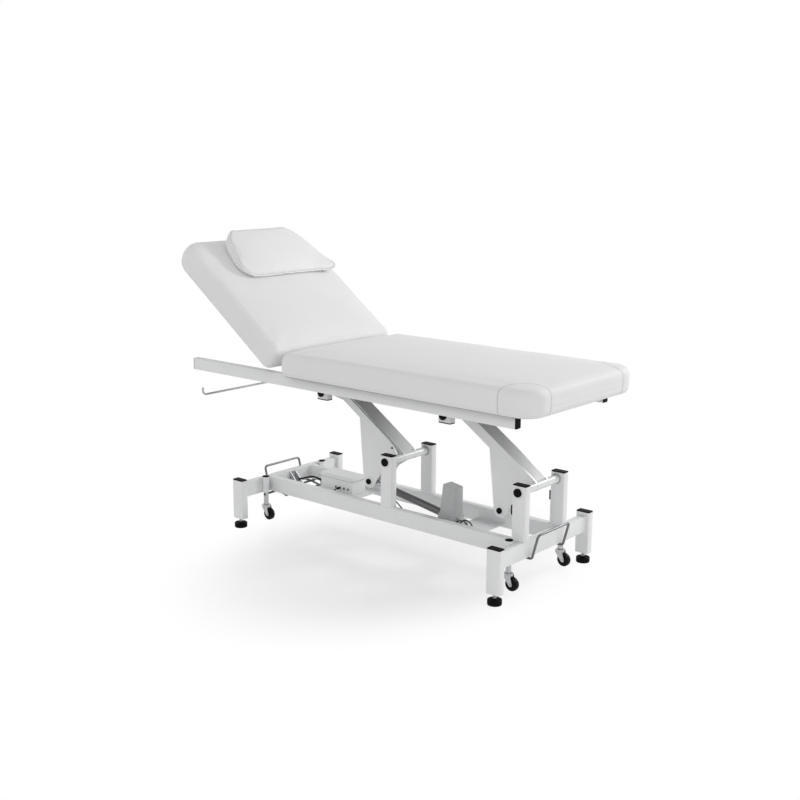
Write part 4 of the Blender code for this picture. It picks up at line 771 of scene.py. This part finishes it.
class StudioOperator(bpy.types.Operator):
    """Set up the camera, floor and light"""

    bl_idname = "massage_table.studio"
    bl_label = "Studio"

    def execute(self, context):
        scene = context.scene
        studio = settings()[2]
        scene.view_settings.view_transform = "Standard"
        self.place_camera(scene)
        self.light(scene, studio)
        self.lay_floor(studio)
        return {"FINISHED"}

    def place_camera(self, scene):
        """Camera as fitted to the photograph: yaw about the vertical, pitch down, then a slight roll."""
        yaw, pitch, roll = CAMERA_YAW, CAMERA_PITCH, CAMERA_ROLL
        level = math.cos(pitch)
        ahead = np.array([-level * math.sin(yaw), level * math.cos(yaw), -math.sin(pitch)])
        right = np.array([math.cos(yaw), math.sin(yaw), 0.0])
        up = np.cross(right, ahead)
        rolled = math.cos(roll) * right + math.sin(roll) * up
        upright = math.cos(roll) * up - math.sin(roll) * right
        data = bpy.data.cameras.new("camera")
        data.sensor_width = SENSOR_MM
        data.lens = SENSOR_MM * FOCAL_PIXELS / IMAGE_PIXELS
        turn = np.stack([rolled, upright, -ahead], axis=1)
        camera = add("camera", data)
        camera.matrix_world = Matrix.Translation(CAMERA_PLACE) @ Matrix(turn.tolist()).to_4x4()
        scene.camera = camera

    def light(self, scene, studio):
        """Sky that brightens along the slope, white to the camera and in reflections, and one wide lamp."""
        world = bpy.data.worlds.new("studio")
        world.use_nodes = True
        nodes = Nodes(world.node_tree)
        way = nodes.node("ShaderNodeTexCoord", output="Generated")
        slope = {0: way, 1: studio.slope}
        rise = nodes.node("ShaderNodeVectorMath", {"operation": "DOT_PRODUCT"}, slope, "Value")
        seen = seen_ray(nodes)
        sky = world.node_tree.nodes["Background"]
        nodes.feed(sky.inputs["Color"], (1, 1, 1, 1))
        nodes.feed(sky.inputs["Strength"], (rise + studio.sky) * (1 - seen) + seen)
        scene.world = world
        data = bpy.data.lights.new("key_lamp", "AREA")
        data.size = KEY_SIZE
        data.energy = studio.key
        aim = (Vector(KEY_TARGET) - Vector(KEY_PLACE)).to_track_quat("-Z", "Y")
        add("key_lamp", data).matrix_world = Matrix.Translation(KEY_PLACE) @ aim.to_matrix().to_4x4()

    def lay_floor(self, studio):
        """Pale floor: rings with radius as the square of their number, white to the camera far away; by the table
        a share of painted glow lightens its shadow.
        """
        radius = FLOOR_RADIUS * np.linspace(FLOOR_INNER, 1, FLOOR_RINGS) ** 2
        angle = np.linspace(0, 2 * np.pi, FLOOR_SIDES, endpoint=False)
        ring = np.stack([np.cos(angle), np.sin(angle), np.zeros(FLOOR_SIDES)], axis=1)
        points = radius[:, None, None] * ring
        faces = quads(FLOOR_RINGS, FLOOR_SIDES).tolist() + [tuple(reversed(range(FLOOR_SIDES)))]
        mesh = new_mesh("floor", points.reshape(-1, 3), faces)
        look = Finish("floor", Roughness=0.28, Specular_IOR_Level=0.25)
        cloud = look.noise(2.0, 2.0)
        look.shade(Base_Color=look.tint(cloud, rgba(studio.floor, 0.99), rgba(studio.floor)))
        oval = look.node("ShaderNodeMapping", None, {
            "Vector": look.place, "Location": OVAL_SHIFT, "Scale": OVAL_SCALE})
        away = look.node("ShaderNodeVectorMath", {"operation": "LENGTH"}, {0: oval}, "Value")
        # Painted light: the floor glows white to the camera and in reflections, fully far away and at a set share
        # by the table, where it lightens the table's shadow.
        far = look.step(away, *OVAL_FADE, studio.floor_glow, 1.0) * seen_ray(look)
        white = look.node("ShaderNodeEmission", None, {"Color": (1, 1, 1, 1), "Strength": 1.0})
        shader = Signal(look, look.shader.outputs[0])
        mixed = look.node("ShaderNodeMixShader", None, {0: far, 1: shader, 2: white})
        look.feed(look.tree.nodes["Material Output"].inputs["Surface"], mixed)
        mesh.materials.append(look.material)
        add("floor", mesh)


class FinishesOperator(bpy.types.Operator):
    """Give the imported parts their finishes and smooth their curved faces"""

    bl_idname = "massage_table.finishes"
    bl_label = "Finishes"

    def execute(self, context):
        make_looks()
        rounding = shade_rounded()
        for name, part in frame["nodes"].items():
            part.data.materials.clear()
            part.data.materials.append(LOOKS[PALER.get(name, SLOTS[name])])
            part.modifiers.new("join_and_shade", "NODES").node_group = rounding
        return {"FINISHED"}


class SeatOperator(bpy.types.Operator):
    """Make the seat cushion with its sewn foot corners"""

    bl_idname = "massage_table.seat"
    bl_label = "Seat cushion"

    def execute(self, context):
        low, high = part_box("seat_cushion")
        along = spread((0.04, 6), (0.80, 62), (1.0, 42))
        across = spread((0.16, 9), (0.84, 36), (1.0, 9)) * 2 - 1
        slab = Padding(low.x, high.x, high.y, 0.030, 0.085, along, across, corner=9)
        side = high.z - low.z - CROWN_ROOM
        drawn_back = {"deep": 0.070, "back": 0.022, "run": 0.16, "corners": (0.12, 0.01)}
        points, faces, up, normal = upholster(slab, side, **drawn_back)
        seam, run = corner_seam(points, slab)
        groove = settings()[0].seam_depth * np.exp(-(seam / SEAM_WIDTH) ** 2) * (up > 0.004)
        uneven = smooth_step(up, *LOOSE_HEIGHTS) * waves(points, 0.0012, 5)
        points = points + normal * (uneven - groove)[:, None]
        points[:, 2] = np.maximum(points[:, 2], 0.0) + low.z
        put_cover("seat_cover", points, faces, "sewn_leatherette", "top_frame", "seat_cushion", up,
                  {"seam_distance": seam, "seam_along": run})
        return {"FINISHED"}


def corner_seam(points, slab):
    """Distance from the sewn foot corners, and a length along their seam.

    In plan, u is the distance from the foot end and w from the nearer side. The corner piece has a limit of u
    along the side, one of w along the end, and one of u + w across its top. The three limits are joined with
    rounded corners by a sum of their exponentials.
    """
    u = slab.high - points[:, 0]
    w = slab.half - np.abs(points[:, 1])
    limits = np.stack([u - CORNER_ALONG, w - CORNER_ACROSS, (u + w - CORNER_CUT) / math.sqrt(2)])
    joined = np.exp(limits / CORNER_SHARPNESS).clip(1e-30, 1e30).sum(axis=0)
    return CORNER_SHARPNESS * np.log(joined), points[:, 2] + (u - w) / math.sqrt(2)


def to_world(points):
    """Turn flat backrest coordinates about the hinge by the backrest's tilt."""
    c, s = math.cos(BACK_TILT), math.sin(BACK_TILT)
    x, y, z = points.T
    return np.stack([HINGE[0] + x * c + z * s, y, HINGE[2] - x * s + z * c], axis=1)


def to_flat(points):
    """Turn world coordinates back into flat backrest coordinates."""
    c, s = math.cos(BACK_TILT), math.sin(BACK_TILT)
    x, y, z = points[:, 0] - HINGE[0], points[:, 1], points[:, 2] - HINGE[2]
    return np.stack([x * c - z * s, y, x * s + z * c], axis=1)


def flat_box(node):
    """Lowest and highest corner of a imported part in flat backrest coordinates."""
    points = to_flat(np.array([vertex.co for vertex in frame["nodes"][node].data.vertices]))
    return points.min(axis=0), points.max(axis=0)


class BackrestOperator(bpy.types.Operator):
    """Make the backrest cushion with its rounded head end"""

    bl_idname = "massage_table.backrest"
    bl_label = "Backrest cushion"

    def execute(self, context):
        low, high = flat_box("backrest_cushion")
        along = spread((0.22, 26), (0.96, 46), (1.0, 6))
        across = spread((0.12, 6), (0.88, 36), (1.0, 6)) * 2 - 1
        slab = Padding(low[0], high[0], high[1], 0.105, 0.032, along, across, corner=11)
        side = high[2] - low[2] - CROWN_ROOM
        points, faces, up, normal = upholster(slab, side, deep=0.072, back=0.055, run=0.26)
        uneven = smooth_step(up, *LOOSE_HEIGHTS) * waves(points, 0.0016, 11)
        points = points + normal * uneven[:, None]
        points[:, 2] = np.maximum(points[:, 2], 0.0) + low[2]
        put_cover("backrest_cover", to_world(points), faces, "leatherette", "backrest", "backrest_cushion",
                  up)
        return {"FINISHED"}


class PillowOperator(bpy.types.Operator):
    """Make the loose head pillow, thick at the head and thin at the foot, with a corded seam round its top"""

    bl_idname = "massage_table.pillow"
    bl_label = "Head pillow"

    def execute(self, context):
        low, high = flat_box("head_pillow")
        length = high[0] - low[0]
        foot_half, head_half = 0.262, 0.178
        foot_middle, head_middle = 0.039, 0.001
        gusset_top, crown = 0.060, 0.020
        along = spread((0.14, 9), (0.84, 32), (1.0, 10))
        across = spread((0.1, 7), (0.9, 46), (1.0, 7)) * 2 - 1
        slab = Padding(low[0], high[0], foot_half, 0.068, 0.084, along, across, corner=12)
        profile = np.array([
            (0.020, 0.0), (0.014, 0.003), (0.0105, 0.008), (0.0078, 0.016), (0.0055, 0.024), (0.0036, 0.032),
            (0.0020, 0.040), (0.0010, 0.047), (0.0008, 0.052), (0.0012, 0.056), (0.0030, 0.0590),
            (0.006, 0.0600), (0.010, 0.0606), (0.014, 0.0612)])
        rim = 10

        def top(plan):
            fx = np.clip(np.abs((plan[..., 0] - low[0]) / length * 2 - 1), 0, 1)
            fy = np.clip(np.abs(plan[..., 1] / foot_half), 0, 1)
            return profile[-1, 1] + crown * (1 - fy ** 2.4) * (1 - fx ** 2.4)

        points, faces, up = slab.skin(profile, top)
        share = (high[0] - points[:, 0]) / length
        self.taper(points, share, head_half / foot_half, foot_middle, head_middle)
        thin = 0.10 + 0.90 * np.clip(share, 0, 1) ** 0.75
        points[:, 2] = np.minimum(points[:, 2], gusset_top) * thin + np.maximum(points[:, 2] - gusset_top, 0)
        tip = smooth_step(1 - share, 0.60, 1.0) * smooth_step(points[:, 1], 0.15, 0.275)
        points += tip[:, None] * (0.014, 0.042, 0.008)
        points = swell(points, faces, up < 0.004, settings()[0].pillow_puff)
        points, faces, up = finer(points, faces, up)
        seam = up - climb_of(profile)[rim]
        relief = self.cord(seam) + self.folds(points, up)
        relief += smooth_step(up, 0.01, 0.03) * waves(points * 2.0, 0.0012, 3)
        points = points + face_normals(points, faces) * relief[:, None]
        lip = 1 - smooth_step((high[0] - points[:, 0]) / length, 0.0, 0.16)
        wavy = 0.0010 * np.sin(points[:, 1] * 92.0 + 1.0) + 0.0007 * np.sin(points[:, 1] * 211.0)
        points[:, 2] = np.maximum(points[:, 2], 0.0) + np.maximum(lip * (0.0022 + wavy), 0.0) + low[2]
        put_cover("pillow_cover", to_world(points), faces, "sewn_leatherette", "backrest", "head_pillow",
                  up + 1.0, {"seam_distance": np.abs(np.abs(seam) - 0.0046),
                             "seam_along": np.full(len(points), UNSTITCHED)})
        return {"FINISHED"}

    def taper(self, points, share, narrow, foot_middle, head_middle):
        """Narrow the plan evenly towards the head, shift its middle and swell its far side as a sine."""
        middle = foot_middle + (head_middle - foot_middle) * share
        points[:, 1] = points[:, 1] * (1 + (narrow - 1) * share) + middle
        bulge = 0.013 * np.sin(np.pi * np.clip(share, 0, 1))
        points[:, 1] += bulge * smooth_step(points[:, 1], 0.0, 0.22)

    def cord(self, seam):
        """Height of the corded seam: a bell on the seam, and a shallower groove on each side of it."""
        groove = 0.0009 * np.exp(-((np.abs(seam) - 0.0065) / 0.003) ** 2)
        return 0.0014 * np.exp(-(seam / 0.0032) ** 2) - groove

    def folds(self, points, up):
        """Small folds round the gusset: a sine along its length, with its phase swaying."""
        gusset = smooth_step(up, 0.006, 0.02) * (1 - smooth_step(up, 0.035, 0.055))
        phase = (points[:, 0] + points[:, 1]) * 150.0 + 3 * np.sin(points[:, 0] * 31.0)
        return gusset * 0.0011 * np.sin(phase)


def dome(radius, foot, shoulder, crown):
    """Profile of a domed cover: straight from foot to shoulder, then a quarter ellipse to its middle."""
    angle = np.linspace(0, np.pi / 2, DOME_STEPS + 1)
    across = LEAST_RADIUS + (radius - LEAST_RADIUS) * np.cos(angle)
    return np.concatenate([[(radius, foot)], np.stack([across, shoulder + crown * np.sin(angle)], axis=1)])


class CoversOperator(bpy.types.Operator):
    """Make the black plugs in the tube ends and the covers over caps and bolts"""

    bl_idname = "massage_table.covers"
    bl_label = "Plugs and covers"

    def execute(self, context):
        self.tube_plugs()
        self.guide_plugs()
        self.bracket_caps()
        self.pivot_covers()
        self.bolt_covers()
        self.buffers()
        self.pedal_brackets()
        return {"FINISHED"}

    def tube_plugs(self):
        """Thin lids on both ends of each side tube, a block with rounded corners and edges."""
        for side in ("near", "far"):
            low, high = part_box(f"{side}_side_tube")
            shells = []
            for start, end in ((low.x - 0.003, low.x - 0.0002), (high.x + 0.0002, high.x + 0.003)):
                lid = block((start, low.y, low.z), (end, high.y, high.z), radius=0.004, edge=0.0009, axis=0)
                shells.append(shell(lid))
            put(f"{side}_tube_plugs", shells, "black_plastic", "top_frame")

    def guide_plugs(self):
        """Low domes on the caster guides."""
        profile = dome(radius=0.0143, foot=-0.0004, shoulder=0.0012, crown=0.0026)
        for end, sign in (("head", -1), ("foot", 1)):
            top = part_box(f"{end}_beam")[1].z
            places = [(MIDDLE_X + sign * GUIDE_X, side * GUIDE_Y, top) for side in (-1, 1)]
            shells = [shell(turned(profile, place, (0, 0, 1))) for place in places]
            put(f"{end}_guide_plugs", shells, "black_plastic", "base")

    def bracket_caps(self):
        """Lids over the closed lower ends of the hanging brackets, blocks with rounded corners and edges."""
        half = BRACKET_HALF + 0.0004
        for end in ("head", "foot"):
            low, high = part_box(f"{end}_cross_member")
            shells = []
            for middle in (-BRACKET_Y, BRACKET_Y):
                corner = (low.x - 0.0004, middle - half, low.z - 0.0006)
                across = (high.x + 0.0004, middle + half, low.z + 0.0036)
                shells.append(shell(block(corner, across, radius=0.005, edge=0.0009)))
            put(f"{end}_bracket_caps", shells, "black_plastic", "top_frame")

    def pivot_covers(self):
        """Domed covers over the main pivots' heads and bushes beside the arms, turned about the pivots."""
        profile = dome(radius=0.0152, foot=0.0002, shoulder=0.0058, crown=0.0022)
        bush = [(0.0150, 0.1004), (0.0192, 0.1004), (0.0196, 0.1008), (0.0196, 0.1036), (0.0192, 0.1040),
                (0.0150, 0.1040)]
        face = abs(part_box("head_near_post")[0].y)
        for number in (1, 2):
            low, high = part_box(f"arm_{number}_pivot_shaft")
            middle = np.array([(low.x + high.x) / 2, 0.0, (low.z + high.z) / 2])
            covers = [shell(turned(profile, middle + (0, sign * face, 0), (0, sign, 0))) for sign in (-1, 1)]
            put(f"arm_{number}_pivot_covers", covers, "black_plastic", "base")
            bushes = [hoop(turned(bush, middle, (0, sign, 0), BUSH_SIDES)) for sign in (-1, 1)]
            put(f"arm_{number}_bushes", bushes, "grey_plastic", "base")

    def bolt_covers(self):
        """Domed covers over the bolts at both ends of the arms, and the screw that holds the outer plate."""
        high_cover = dome(radius=0.0151, foot=0.1352, shoulder=0.1410, crown=0.0016)
        screw = dome(radius=0.0042, foot=0.0638, shoulder=0.0652, crown=0.0010)
        for number, along in ((1, 0.0), (2, ARM_SPACING)):
            upper = (UPPER_BOLT[0] + along, 0.0, UPPER_BOLT[1])
            lower = (LOWER_BOLT[0] + along, 0.0, LOWER_BOLT[1])
            shells = []
            for sign in (-1, 1):
                face = 0.064 if number == 1 and sign < 0 else 0.036
                low_cover = dome(radius=0.0110, foot=face + 0.0022, shoulder=face + 0.0070, crown=0.0014)
                shells.append(shell(turned(high_cover, upper, (0, sign, 0))))
                shells.append(shell(turned(low_cover, lower, (0, sign, 0))))
            if number == 1:
                shells.append(shell(turned(screw, PLATE_SCREW, (0, -1, 0), SCREW_SIDES)))
            put(f"arm_{number}_bolt_covers", shells, "black_plastic", f"lift_arm_{number}")

    def buffers(self):
        """Rubber strips on the foot posts, where the arm comes to rest."""
        bottom, top = BUFFER_HEIGHTS
        shells = []
        for side in ("near", "far"):
            low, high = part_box(f"foot_{side}_post")
            corner = (low.x - 0.0068, low.y + 0.002, bottom)
            across = (low.x - 0.0002, high.y - 0.002, top)
            shells.append(shell(block(corner, across, radius=0.002, edge=0.001)))
        put("post_buffers", shells, "black_plastic", "base")

    def pedal_brackets(self):
        """Bare steel cheeks on the pedal brackets, triangles carried across, and the bolt between them."""
        cheek = np.array([(-0.0002, 0.1804), (-0.0002, 0.1265), (0.0524, 0.1265)])
        bolt = dome(radius=0.0060, foot=-0.0004, shoulder=0.0042, crown=0.0010)
        half = 0.0029
        for end, sign in (("head", 1), ("foot", -1)):
            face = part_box("near_rail")[sign < 0].x
            around = np.stack([face + sign * cheek[::sign, 0], np.zeros(3), cheek[::sign, 1]], axis=1)
            shells = []
            for middle in (-0.015, 0.015):
                faces = [around + (0, y, 0) for y in (middle - half, middle + half)]
                shells.append(shell(np.stack(faces)))
            shells.append(shell(turned(bolt, (face, 0.0, PEDAL_BOLT_Z), (sign, 0, 0), SCREW_SIDES)))
            put(f"{end}_pedal_cheeks", shells, "zinc", "base")


class BoxOperator(bpy.types.Operator):
    """Make the sockets on the near side of the control box and the gasket under its lid"""

    bl_idname = "massage_table.box"
    bl_label = "Box sockets and gasket"

    def execute(self, context):
        low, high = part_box("control_box")
        rim = [(0.0034, 0.0004), (0.0036, 0.0016), (0.0050, 0.0016), (0.0055, 0.0011), (0.0055, -0.0004),
               (0.0034, -0.0004)]
        hole = [(0.0004, 0.0006), (0.0033, 0.0006), (0.0033, -0.0004)]
        places = [(x, low.y, SOCKET_Z) for x in SOCKET_X]
        rims = [hoop(turned(rim, place, (0, -1, 0), SOCKET_SIDES)) for place in places]
        put("box_socket_rims", rims, "grey_plastic", "base")
        holes = [shell(turned(hole, place, (0, -1, 0), SOCKET_SIDES)) for place in places]
        put("box_sockets", holes, "black_plastic", "base")
        proud = 0.0005
        start = (low.x - proud, low.y - proud, high.z - 0.0150)
        end = (high.x + proud, high.y + proud, high.z - 0.0132)
        put("box_gasket", [shell(block(start, end, radius=0.0062, edge=0.0004))], "grey_plastic", "base")
        return {"FINISHED"}


def smooth_path(points):
    """Even points on a uniform cubic B-spline, whose ends are held by tripling the first and last point."""
    points = np.asarray(points, float)
    points = np.concatenate([points[:1], points[:1], points, points[-1:], points[-1:]])
    t = np.linspace(0, 1, PATH_STEPS, endpoint=False)
    inner = [3 * t ** 3 - 6 * t ** 2 + 4, 1 + 3 * t + 3 * t ** 2 - 3 * t ** 3]
    basis = np.stack([(1 - t) ** 3, *inner, t ** 3]) / 6
    windows = np.stack([points[k:len(points) - 3 + k] for k in range(4)])
    curve = np.einsum("kt,kwx->wtx", basis, windows).reshape(-1, 3)
    curve = np.concatenate([curve, points[-1:]])
    run = np.concatenate([[0.0], np.cumsum(np.linalg.norm(np.diff(curve, axis=0), axis=1))])
    even = np.linspace(0, run[-1], int(run[-1] / PATH_GAP) + 1)
    return np.stack([np.interp(even, run, curve[:, k]) for k in range(3)], axis=1)


def carried(path, radius):
    """Rings carried along a path: at each point a circle square to the path, of the radius there."""
    tangent = np.gradient(path, axis=0)
    tangent /= np.linalg.norm(tangent, axis=1, keepdims=True)
    side = np.cross(tangent, TUBE_REFERENCE)
    side /= np.linalg.norm(side, axis=1, keepdims=True)
    other = np.cross(tangent, side)
    angle = np.linspace(0, 2 * np.pi, TUBE_SIDES, endpoint=False)
    ring = np.cos(angle)[None, :, None] * side[:, None] + np.sin(angle)[None, :, None] * other[:, None]
    return path[:, None] + np.broadcast_to(radius, len(path))[:, None, None] * ring


class LeadsOperator(bpy.types.Operator):
    """Lay the motor's lead and the lead at the head end of the box"""

    bl_idname = "massage_table.leads"
    bl_label = "Leads"

    def execute(self, context):
        leads = settings()[3]
        self.motor_lead(leads.motor_lead)
        self.box_lead(leads.box_lead)
        return {"FINISHED"}

    def motor_lead(self, diameter):
        """From the motor it winds round by the rail, then sags to a clip on the post and on to the box."""
        turn = np.linspace(-0.5, 2.68, COIL_STEPS)[:, None] * np.pi
        share = np.linspace(0, 1, COIL_STEPS)[:, None]
        coil = np.concatenate([
            0.440 - 0.014 * share + COIL_RADIUS * np.cos(turn), -0.0755 - 0.0238 * share ** 0.8,
            0.1425 + COIL_RADIUS + COIL_RADIUS * np.sin(turn)], axis=1)
        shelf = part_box("box_shelf")[1].z + diameter / 2
        x, y, z = LEAD_CLIP
        inside = y + 0.0040
        socket = SOCKET_X[1]
        route = [
            MOTOR_EXIT, (0.412, -0.0737, 0.1595), (0.4215, -0.0742, 0.1520), *coil,
            (0.386, inside, 0.1690), (0.352, inside, 0.1620), (0.312, inside, 0.1555),
            (0.265, inside, 0.1515), (0.220, inside, 0.1535), (0.184, inside, 0.1605),
            (0.157, inside, 0.1720), (0.137, inside, 0.1850), (0.120, inside, 0.1980),
            (0.106, inside, 0.2065), (x, inside, z), (0.080, inside, 0.2055), (0.066, inside, 0.1955),
            (0.050, inside, 0.1800), (0.030, -0.0995, 0.1680), (-0.003, -0.0980, 0.1600),
            (-0.045, -0.0955, 0.1555), (-0.095, -0.0915, 0.1535),
            (-0.136, -0.0885, shelf), (-0.170, -0.0865, shelf), (-0.1975, -0.0865, shelf + 0.001),
            (-0.2195, -0.0855, shelf + 0.005), (-0.2330, -0.0785, shelf + 0.012),
            (-0.2365, -0.067, SOCKET_Z - 0.002), (socket, -0.058, SOCKET_Z), (socket, -0.050, SOCKET_Z)]
        path = smooth_path(route)
        lead = put("motor_lead", [shell(carried(path, diameter / 2))], "cable", "base")
        grip = np.linspace(0, 1, 12)
        sleeve = np.array(MOTOR_EXIT) + np.array([(0.0165, -0.0006, -0.0062)]) * (grip[:, None] - 0.15)
        cone = shell(carried(sleeve, 0.0044 - 0.0013 * grip))
        relief = put("motor_lead_relief", [cone], "cable", "actuator")
        plug_way = np.array([socket, -0.0345, SOCKET_Z]) + np.array([(0.0, -0.020, 0.0)]) * grip[:, None]
        body = np.where(grip < 0.55, 0.0048, 0.0048 - 0.0018 * (grip - 0.55) / 0.45)
        plug = put("motor_lead_plug", [shell(carried(plug_way, body))], "cable", "base")
        self.declare(lead, path, diameter, [relief, plug], "loose")
        end = (x + 0.004, inside + diameter / 2 + 0.0015, z + 0.0055)
        saddle = block((x - 0.004, y + 0.0002, z - 0.0055), end, radius=0.003, edge=0.001, axis=0)
        put("lead_clip", [shell(saddle)], "cable", "base")

    def box_lead(self, diameter):
        """From an angled plug at the head end of the box in a low arch to the head beam."""
        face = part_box("control_box")[0].x
        start = np.array([face - 0.0195, 0.009, 0.1665])
        end = (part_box("head_beam")[0].x + 0.0535, 0.013, 0.144)
        arch = np.array([
            (0.0, 0.0, 0.0), (-0.014, 0.0, 0.0030), (-0.028, 0.0, 0.0055), (-0.043, 0.0006, 0.0065),
            (-0.060, 0.0014, 0.0045), (-0.080, 0.0022, -0.0015), (-0.100, 0.003, -0.0090),
            (-0.120, 0.0036, -0.0160)])
        path = smooth_path([*(start + arch), end])
        lead = put("box_lead", [shell(carried(path, diameter / 2))], "cable", "base")
        grip = np.linspace(0, 1, 14)
        sleeve = path[0] + (path[7] - path[0]) * (grip[:, None] * 1.1 - 0.1)
        ribs = 0.0054 - 0.0014 * grip - 0.0005 * (np.arange(14) % 2)
        corner = (face - 0.0195, 0.0025, 0.1505)
        plug = block(corner, (face - 0.0002, 0.0155, 0.1725), radius=0.004, edge=0.0015)
        relief = put("box_lead_plug", [shell(carried(sleeve, ribs)), shell(plug)], "cable", "base")
        self.declare(lead, path, diameter, [relief], "hanging")

    def declare(self, lead, path, diameter, pieces, lay):
        """Does nothing."""


class CastersOperator(bpy.types.Operator):
    """Make the caster wheels and the levelling feet"""

    bl_idname = "massage_table.casters"
    bl_label = "Wheels and feet"

    def execute(self, context):
        for corner in CORNERS:
            self.wheel(corner)
            self.foot(corner)
        return {"FINISHED"}

    def wheel(self, corner):
        """Wheel: crowned tread, round shoulders, grooved web and a hub with its bore, turned on its axle."""
        node = f"{corner}_caster_wheel"
        low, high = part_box(node)
        radius = (high.x - low.x) / 2
        face = (low.y - high.y) / 2
        bend = 0.0045
        angle = np.linspace(0, np.pi / 2, ROUND_STEPS + 1)
        shoulder = np.stack([
            radius - bend + bend * np.sin(angle) - 0.0002, face + bend * (1 - np.cos(angle))], axis=1)
        web = [(0.0034, face + 0.0006), (0.0040, face), (0.0085, face), (0.0092, face + 0.0008),
               (0.0096, face + 0.0026), (0.0165, face + 0.0026), (0.0180, face + 0.0010), (0.0188, face)]
        left = np.concatenate([web, shoulder])
        profile = np.concatenate([left, [(radius, 0.0)], left[::-1] * (1, -1)])
        tread = hoop(turned(profile, (low + high) / 2, (0, 1, 0)))
        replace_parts(put(f"{corner}_wheel", [tread], "wheel_plastic", node), node)

    def foot(self, corner):
        """Levelling foot: a pad with a round, grooved rim and a threaded stem, turned about the upright."""
        node = f"{corner}_levelling_foot"
        low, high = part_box(node)
        place = ((low.x + high.x) / 2, (low.y + high.y) / 2, 0.0)
        radius = (high.x - low.x) / 2
        top, bend = 0.020, 0.0028
        angle = np.linspace(0, np.pi / 2, ROUND_STEPS + 1)
        rim = np.stack([radius - bend + bend * np.cos(angle), top - bend + bend * np.sin(angle)], axis=1)
        profile = np.concatenate([
            [(radius - 0.0030, 0.0), (radius - 0.0012, 0.0005), (radius - 0.0004, 0.002), (radius, 0.0050)],
            rim,
            [(0.0185, top), (0.0178, top - 0.0012), (0.0150, top - 0.0012), (0.0142, top),
             (0.0135, top + 0.0022), (0.0125, top + 0.0030), (0.0085, top + 0.0032)]])
        made = put(f"{corner}_foot_pad", [shell(turned(profile, place, (0, 0, 1)))], "black_plastic", node)
        height = np.linspace(top + 0.001, high.z, 40)
        thread = np.stack([0.0056 + 0.0005 * np.cos(height * 2 * np.pi / 0.00125), height], axis=1)
        put(f"{corner}_foot_stem", [shell(turned(thread, place, (0, 0, 1), SCREW_SIDES))], "zinc", node)
        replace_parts(made, node)


class TablePanel(bpy.types.Panel):
    """Lists the steps that dress the table"""

    bl_idname = "VIEW3D_PT_massage_table"
    bl_label = "Massage table"
    bl_space_type = "VIEW_3D"
    bl_region_type = "UI"
    bl_category = "Table"

    def draw(self, context):
        for group in settings():
            for name in group.__annotations__:
                self.layout.prop(group, name)
        for step in STEPS:
            self.layout.operator(step.bl_idname)


GROUPS = {
    "table_padding": PaddingSettings,
    "table_finish": FinishSettings,
    "table_studio": StudioSettings,
    "table_leads": LeadSettings,
}
STEPS = (
    StudioOperator,
    FinishesOperator,
    LeadsOperator,
    SeatOperator,
    BackrestOperator,
    PillowOperator,
    CoversOperator,
    BoxOperator,
    CastersOperator,
)


def register():
    """Make the settings, steps and panel known."""
    for name, group in GROUPS.items():
        bpy.utils.register_class(group)
        setattr(bpy.types.Scene, name, PointerProperty(type=group))
    for made in (*STEPS, TablePanel):
        bpy.utils.register_class(made)


def unregister():
    """Forget the panel, steps and settings."""
    for made in (TablePanel, *reversed(STEPS)):
        bpy.utils.unregister_class(made)
    for name, group in reversed(GROUPS.items()):
        delattr(bpy.types.Scene, name)
        bpy.utils.unregister_class(group)


def main():
    """Run every step in order."""
    register()
    for step in STEPS:
        group, name = step.bl_idname.split(".")
        getattr(getattr(bpy.ops, group), name)()


if __name__ == "__main__":
    main()
